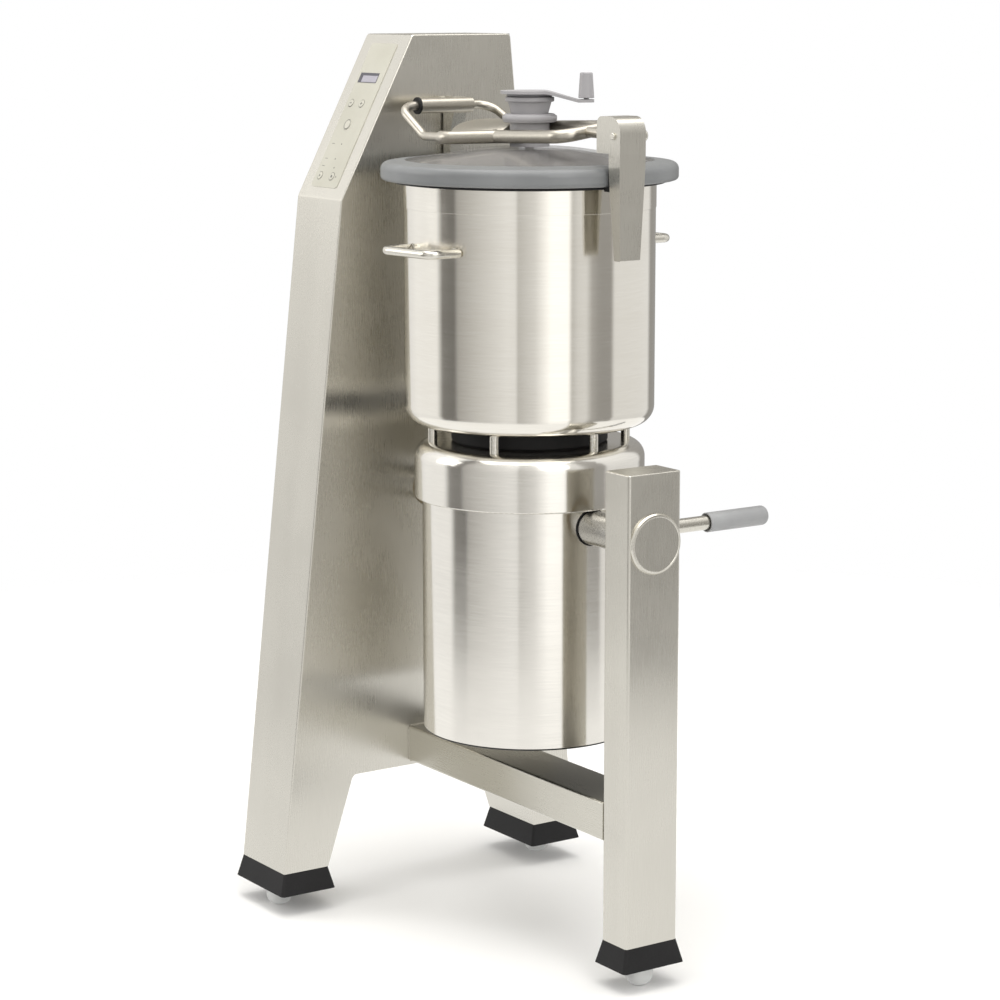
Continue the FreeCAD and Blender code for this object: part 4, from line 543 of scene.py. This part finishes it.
def around_rod(side, end):
    """The line where a handle's rod meets the bowl: a circle about the rod, laid on the cylinder.

    x = end (half - r) + r cos a, y = side sqrt(R^2 - x^2), z = height + r sin a, with R the bowl's
    radius and r the rod's, turned about the bowl's axis."""
    bowl = box("bowl")[1][0] - BOWL_AXIS
    height = middle("bowl_handles")[2]
    angle = np.linspace(0, 2 * np.pi, 64, endpoint=False)
    x = end * (HANDLE_HALF - HANDLE_ROD) + HANDLE_ROD * np.cos(angle)
    y = side * np.sqrt(bowl ** 2 - x ** 2)
    z = height + HANDLE_ROD * np.sin(angle)
    cos, sin = math.cos(HANDLE_TURN), math.sin(HANDLE_TURN)
    return np.stack([BOWL_AXIS + x * cos - y * sin, x * sin + y * cos, z], 1)


def make_handle_welds():
    """A small bead round each of the four roots of the handles."""
    beads = []
    for side in (-1, 1):
        for end in (-1, 1):
            along_rod = (-side * math.sin(HANDLE_TURN), side, 0)
            beads.append(bead(around_rod(side, end), along_rod, HANDLE_WELD, True))
    piece("handle_welds", beads, weld_steel, "cradle")


# Radius and height, from the seat over the round head and down into the socket, whose rows are flats
SCREW = [(0, 0), (4.75, 0), (4.75, 0.6), (4.4, 1.4), (3.6, 2.2), (2.7, 2.6),
         (1.75, 2.6), (1.7, 2.4), (1.7, 0.9), (0, 0.7)]
SCREW_FLATS = [6, 7, 8]
COVER_WALL = 3
COVER_EDGE = 10
COVER_ROWS = (0.03, 0.27, 0.51, 0.75, 0.965)
BOTTOM_CIRCLE = 146
BOTTOM_TURN = 0.3


def screw(place, axis):
    """A round-headed screw with a six-sided socket."""
    return turned(SCREW, place, axis, 36, closed=False, flats=SCREW_FLATS)


def make_screws():
    """Screws of the column's rear cover, in two rows up its lean, and of the motor's bottom cover."""
    low, high = box("column_rear_cover")
    foot = np.array((high[1], low[2]))
    head = np.array((low[1] + COVER_WALL, high[2]))
    lean = head - foot
    out = np.array((0, lean[1], -lean[0])) / np.linalg.norm(lean)
    shapes = []
    for share in COVER_ROWS:
        y, z = foot + lean * share
        shapes += [screw((x, y, z), out) for x in (low[0] + COVER_EDGE, high[0] - COVER_EDGE)]
    piece("rear_cover_screws", shapes, screw_steel, "stand")
    under = box("housing_bottom")[0][2]
    shapes = []
    for angle in np.arange(6) * np.pi / 3 + BOTTOM_TURN:
        place = (BOWL_AXIS + BOTTOM_CIRCLE * math.cos(angle), BOTTOM_CIRCLE * math.sin(angle), under)
        shapes.append(screw(place, -Z))
    piece("bottom_cover_screws", shapes, screw_steel, "cradle")


# Control panel

# The panel's slope starts where the column's front bends back, and is measured up from there
PANEL_SEAT = np.array((middle("control_overlay")[0], -164.0, 1146.0))
PANEL_LEAN = math.atan2(254, 133)
PANEL_UP = np.array((0, math.cos(PANEL_LEAN), math.sin(PANEL_LEAN)))
PANEL_OUT = np.array((0, -math.sin(PANEL_LEAN), math.cos(PANEL_LEAN)))
# Heights above the sheet: the film, the display window and the keys
FILM_TOP = 0.8
WINDOW_TOP = 1.02
KEY_TOP = 1.8
INK = 0.06
# Places are across and up the panel
KEY_PLACES = {"minus": (-24, 164), "plus": (8, 164), "set": (-7, 127), "start": (-24, 37), "stop": (12, 37)}
LAMP_PLACES = [(0, 93), (0, 67), (7.5, 52), (24, 37)]
RULE_PLACES = [(-25, 93), (-27, 67), (-27, 54)]
SIGNS = {
    "minus": [(-3, -0.6), (3, -0.6), (3, 0.6), (-3, 0.6)],
    "plus": [(-0.6, -3), (0.6, -3), (0.6, -0.6), (3, -0.6), (3, 0.6), (0.6, 0.6),
             (0.6, 3), (-0.6, 3), (-0.6, 0.6), (-3, 0.6), (-3, -0.6), (-0.6, -0.6)],
    "start": [(-1.8, -2.4), (2.4, 0), (-1.8, 2.4)],
    "stop": [(-2, -2), (2, -2), (2, 2), (-2, 2)],
}
RULE = [(-4, -0.4), (4, -0.4), (4, 0.4), (-4, 0.4)]
SET_RING = (7.4, 8.4)
KEY_RING = (6.6, 7.2)
LAMP_RADIUS = 1.3
# The display's frame: its left, right, low and high edges, and how wide it is inside each of them
FRAME_EDGES = (-31.5, 23.5, 200.5, 217.5)
FRAME_WIDTHS = (8.8, 1.1, 0.9, 4.4)
FRAME_RISE = 0.28


def on_panel(across, up, out=0.0):
    """A point of the panel: its foot + across x + up its slope + out of its face."""
    return PANEL_SEAT + across * X + up * PANEL_UP + out * PANEL_OUT


def mark(outline, across, up, low):
    """A flat printed shape."""
    return prism(outline, on_panel(across, up), X, PANEL_UP, PANEL_OUT, low, low + INK)


def ring_mark(radii, across, up, low):
    """A printed ring: a flat four-cornered profile turned about the panel's normal."""
    inner, outer = radii
    profile = [(inner, 0), (outer, 0), (outer, INK), (inner, INK)]
    return turned(profile, on_panel(across, up, low), PANEL_OUT, 64)


def disc_outline(radius, count=24):
    """A circle as an outline: (radius cos a, radius sin a)."""
    angle = np.linspace(0, 2 * np.pi, count, endpoint=False)
    return np.stack([radius * np.cos(angle), radius * np.sin(angle)], 1)


def make_prints():
    """Plain signs on the keys, and small lamps, rings and rules printed on the film beside them."""
    shapes = {name: mark(outline, *KEY_PLACES[name], KEY_TOP) for name, outline in SIGNS.items()}
    shapes["set"] = ring_mark(SET_RING, *KEY_PLACES["set"], KEY_TOP)
    for name in KEY_PLACES:
        piece(name + "_sign", [shapes[name]], print_dark, name + "_button")
    rings = [ring_mark(KEY_RING, *KEY_PLACES[name], FILM_TOP) for name in SIGNS]
    lamps = [mark(disc_outline(LAMP_RADIUS), across, up, FILM_TOP) for across, up in LAMP_PLACES]
    rules = [mark(RULE, across, up, FILM_TOP) for across, up in RULE_PLACES]
    piece("film_marks", rings + lamps + rules, print_dark, "stand")


def make_bezel():
    """A dark frame round the display window: four bars, the left one and the top one broad."""
    left, right, low, high = FRAME_EDGES
    left_wide, right_wide, low_wide, high_wide = FRAME_WIDTHS
    inner_left, inner_right = left + left_wide, right - right_wide
    bars = [(left, inner_left, low, high), (inner_right, right, low, high),
            (inner_left, inner_right, high - high_wide, high),
            (inner_left, inner_right, low, low + low_wide)]
    top = WINDOW_TOP + FRAME_RISE
    shapes = []
    for x0, x1, y0, y1 in bars:
        outline = [(x0, y0), (x1, y0), (x1, y1), (x0, y1)]
        shapes.append(prism(outline, PANEL_SEAT, X, PANEL_UP, PANEL_OUT, WINDOW_TOP, top))
    piece("display_frame", shapes, bezel_dark, "stand")


# Studio

# The studio is in metres
FLOOR_RADIUS = 2.9
FADE_START = 1.595
MIRRORED_RADIUS = 2.15


def disc(name, radius, height, material, count=128):
    """A flat round sheet of the studio: one face with its corners at (r cos a, r sin a, height)."""
    angle = np.linspace(0, 2 * np.pi, count, endpoint=False)
    ring = np.stack([np.cos(angle) * radius, np.sin(angle) * radius, np.full(count, height)], 1)
    mesh = bpy.data.meshes.new(name)
    mesh.from_pydata(ring.tolist(), [], [list(range(count))])
    mesh.materials.append(material)
    thing = bpy.data.objects.new(name, mesh)
    bpy.context.scene.collection.objects.link(thing)
    return thing


def make_floor():
    """A pale floor that fades into the white backdrop, and the bright sheet that the steel mirrors."""
    paint, tree = new_material("white_floor")
    place = add(tree, "TexCoord").outputs["Object"]
    away = add(tree, "VectorMath", {0: place}, operation="LENGTH").outputs["Value"]
    fade = add(tree, "MapRange", {"Value": away, "From Min": FADE_START, "From Max": FLOOR_RADIUS,
                                  "To Min": 1.0, "To Max": 0.0})
    matt = add(tree, "BsdfPrincipled", {"Base Color": srgb("#F8F8F7"), "Roughness": 0.7, "Alpha": fade})
    add(tree, "OutputMaterial", {"Surface": matt})
    floor = disc("floor", FLOOR_RADIUS, 0.0, paint)
    floor.visible_glossy = False
    glow, tree = new_material("bright_sweep")
    light = add(tree, "Emission", {"Color": (1, 0.995, 0.985, 1), "Strength": 1.14})
    add(tree, "OutputMaterial", {"Surface": light})
    sweep = disc("mirrored_sweep", MIRRORED_RADIUS, -0.002, glow)
    sweep.visible_camera = False
    sweep.visible_diffuse = False
    sweep.visible_shadow = False


# Compass direction in degrees, and how bright the studio is there
STUDIO_LIGHT = [
    (-180, 0.95), (-160, 1.12), (-128, 1.10), (-121, 0.24), (-107, 0.22), (-103, 0.50),
    (-80, 0.75), (-55, 1.0), (-47, 1.0), (-45, 0.66), (-30, 0.88), (-15, 1.48),
    (1, 1.48), (4, 0.66), (10, 0.85), (18, 0.90), (24, 0.52), (32, 0.40),
    (45, 0.40), (49, 0.93), (103, 0.95), (110, 0.38), (165, 0.38), (172, 0.9),
]


def make_world():
    """White to the camera. To everything else, soft panels of different brightness round the compass."""
    world = bpy.data.worlds.new("studio")
    bpy.context.scene.world = world
    world.use_nodes = True
    tree = world.node_tree
    tree.nodes.clear()
    way = add(tree, "TexCoord").outputs["Generated"]
    part = add(tree, "SeparateXYZ", {0: way})
    angle = add(tree, "Math", {0: part.outputs["Y"], 1: part.outputs["X"]}, operation="ARCTAN2")
    turn = add(tree, "MapRange", {"Value": angle, "From Min": -math.pi, "From Max": math.pi})
    ramp = add(tree, "ValToRGB", {0: turn})
    stops = ramp.color_ramp.elements
    while len(stops) < len(STUDIO_LIGHT):
        stops.new(0.5)
    for stop, (degrees, light) in zip(stops, STUDIO_LIGHT):
        stop.position = (degrees + 180) / 360
        warm = 0.02 + 0.09 * max(0.0, 1 - light)
        stop.color = (light, light * (1 - warm * 0.4), light * (1 - warm), 1)
    # A little brighter towards the ceiling
    height = add(tree, "MapRange", {"Value": part.outputs["Z"], "From Min": -0.4, "From Max": 0.8,
                                    "To Min": 0.85, "To Max": 1.2})
    light = add(tree, "Background", {"Color": ramp, "Strength": height})
    plain = add(tree, "Background", {"Color": (1, 1, 1, 1), "Strength": 1.0})
    seen = add(tree, "LightPath").outputs["Is Camera Ray"]
    mix = add(tree, "MixShader", {0: seen, 1: light, 2: plain})
    add(tree, "OutputWorld", {"Surface": mix})


def softbox(name, place, aim, size, power):
    """A rectangular lamp, slightly warm, hidden from the camera."""
    lamp = bpy.data.lights.new(name, "AREA")
    lamp.shape = "RECTANGLE"
    lamp.size, lamp.size_y = size
    lamp.energy = power
    lamp.color = (1.0, 0.985, 0.96)
    holder = bpy.data.objects.new(name, lamp)
    bpy.context.scene.collection.objects.link(holder)
    holder.location = place
    holder.rotation_mode = "QUATERNION"
    holder.rotation_quaternion = (Vector(aim) - Vector(place)).to_track_quat("-Z", "Y")
    holder.visible_camera = False


def make_lights():
    """A wide softbox overhead, one beyond the post and one in front of the column's left side."""
    softbox("overhead_softbox", (0.2, -0.2, 3.7), (0.0, 0.0, 0.0), (3.6, 3.6), 95)
    softbox("key_softbox", (3.3, -0.5, 2.7), (0.0, 0.0, 0.9), (1.8, 1.8), 17)
    softbox("front_softbox", (-2.2, -3.0, 2.3), (-0.2, 0.0, 0.8), (1.8, 1.8), 25)


make_camera()
finish_nodes()
make_sleeve_bush()
make_crank_ring()
make_hub_lips()
make_drip_ring()
make_trunnion_seals()
make_disc_edge()
make_frame_welds()
make_handle_welds()
make_screws()
make_prints()
make_bezel()
make_floor()
make_world()
make_lights()
bpy.context.scene.view_settings.view_transform = "Standard"
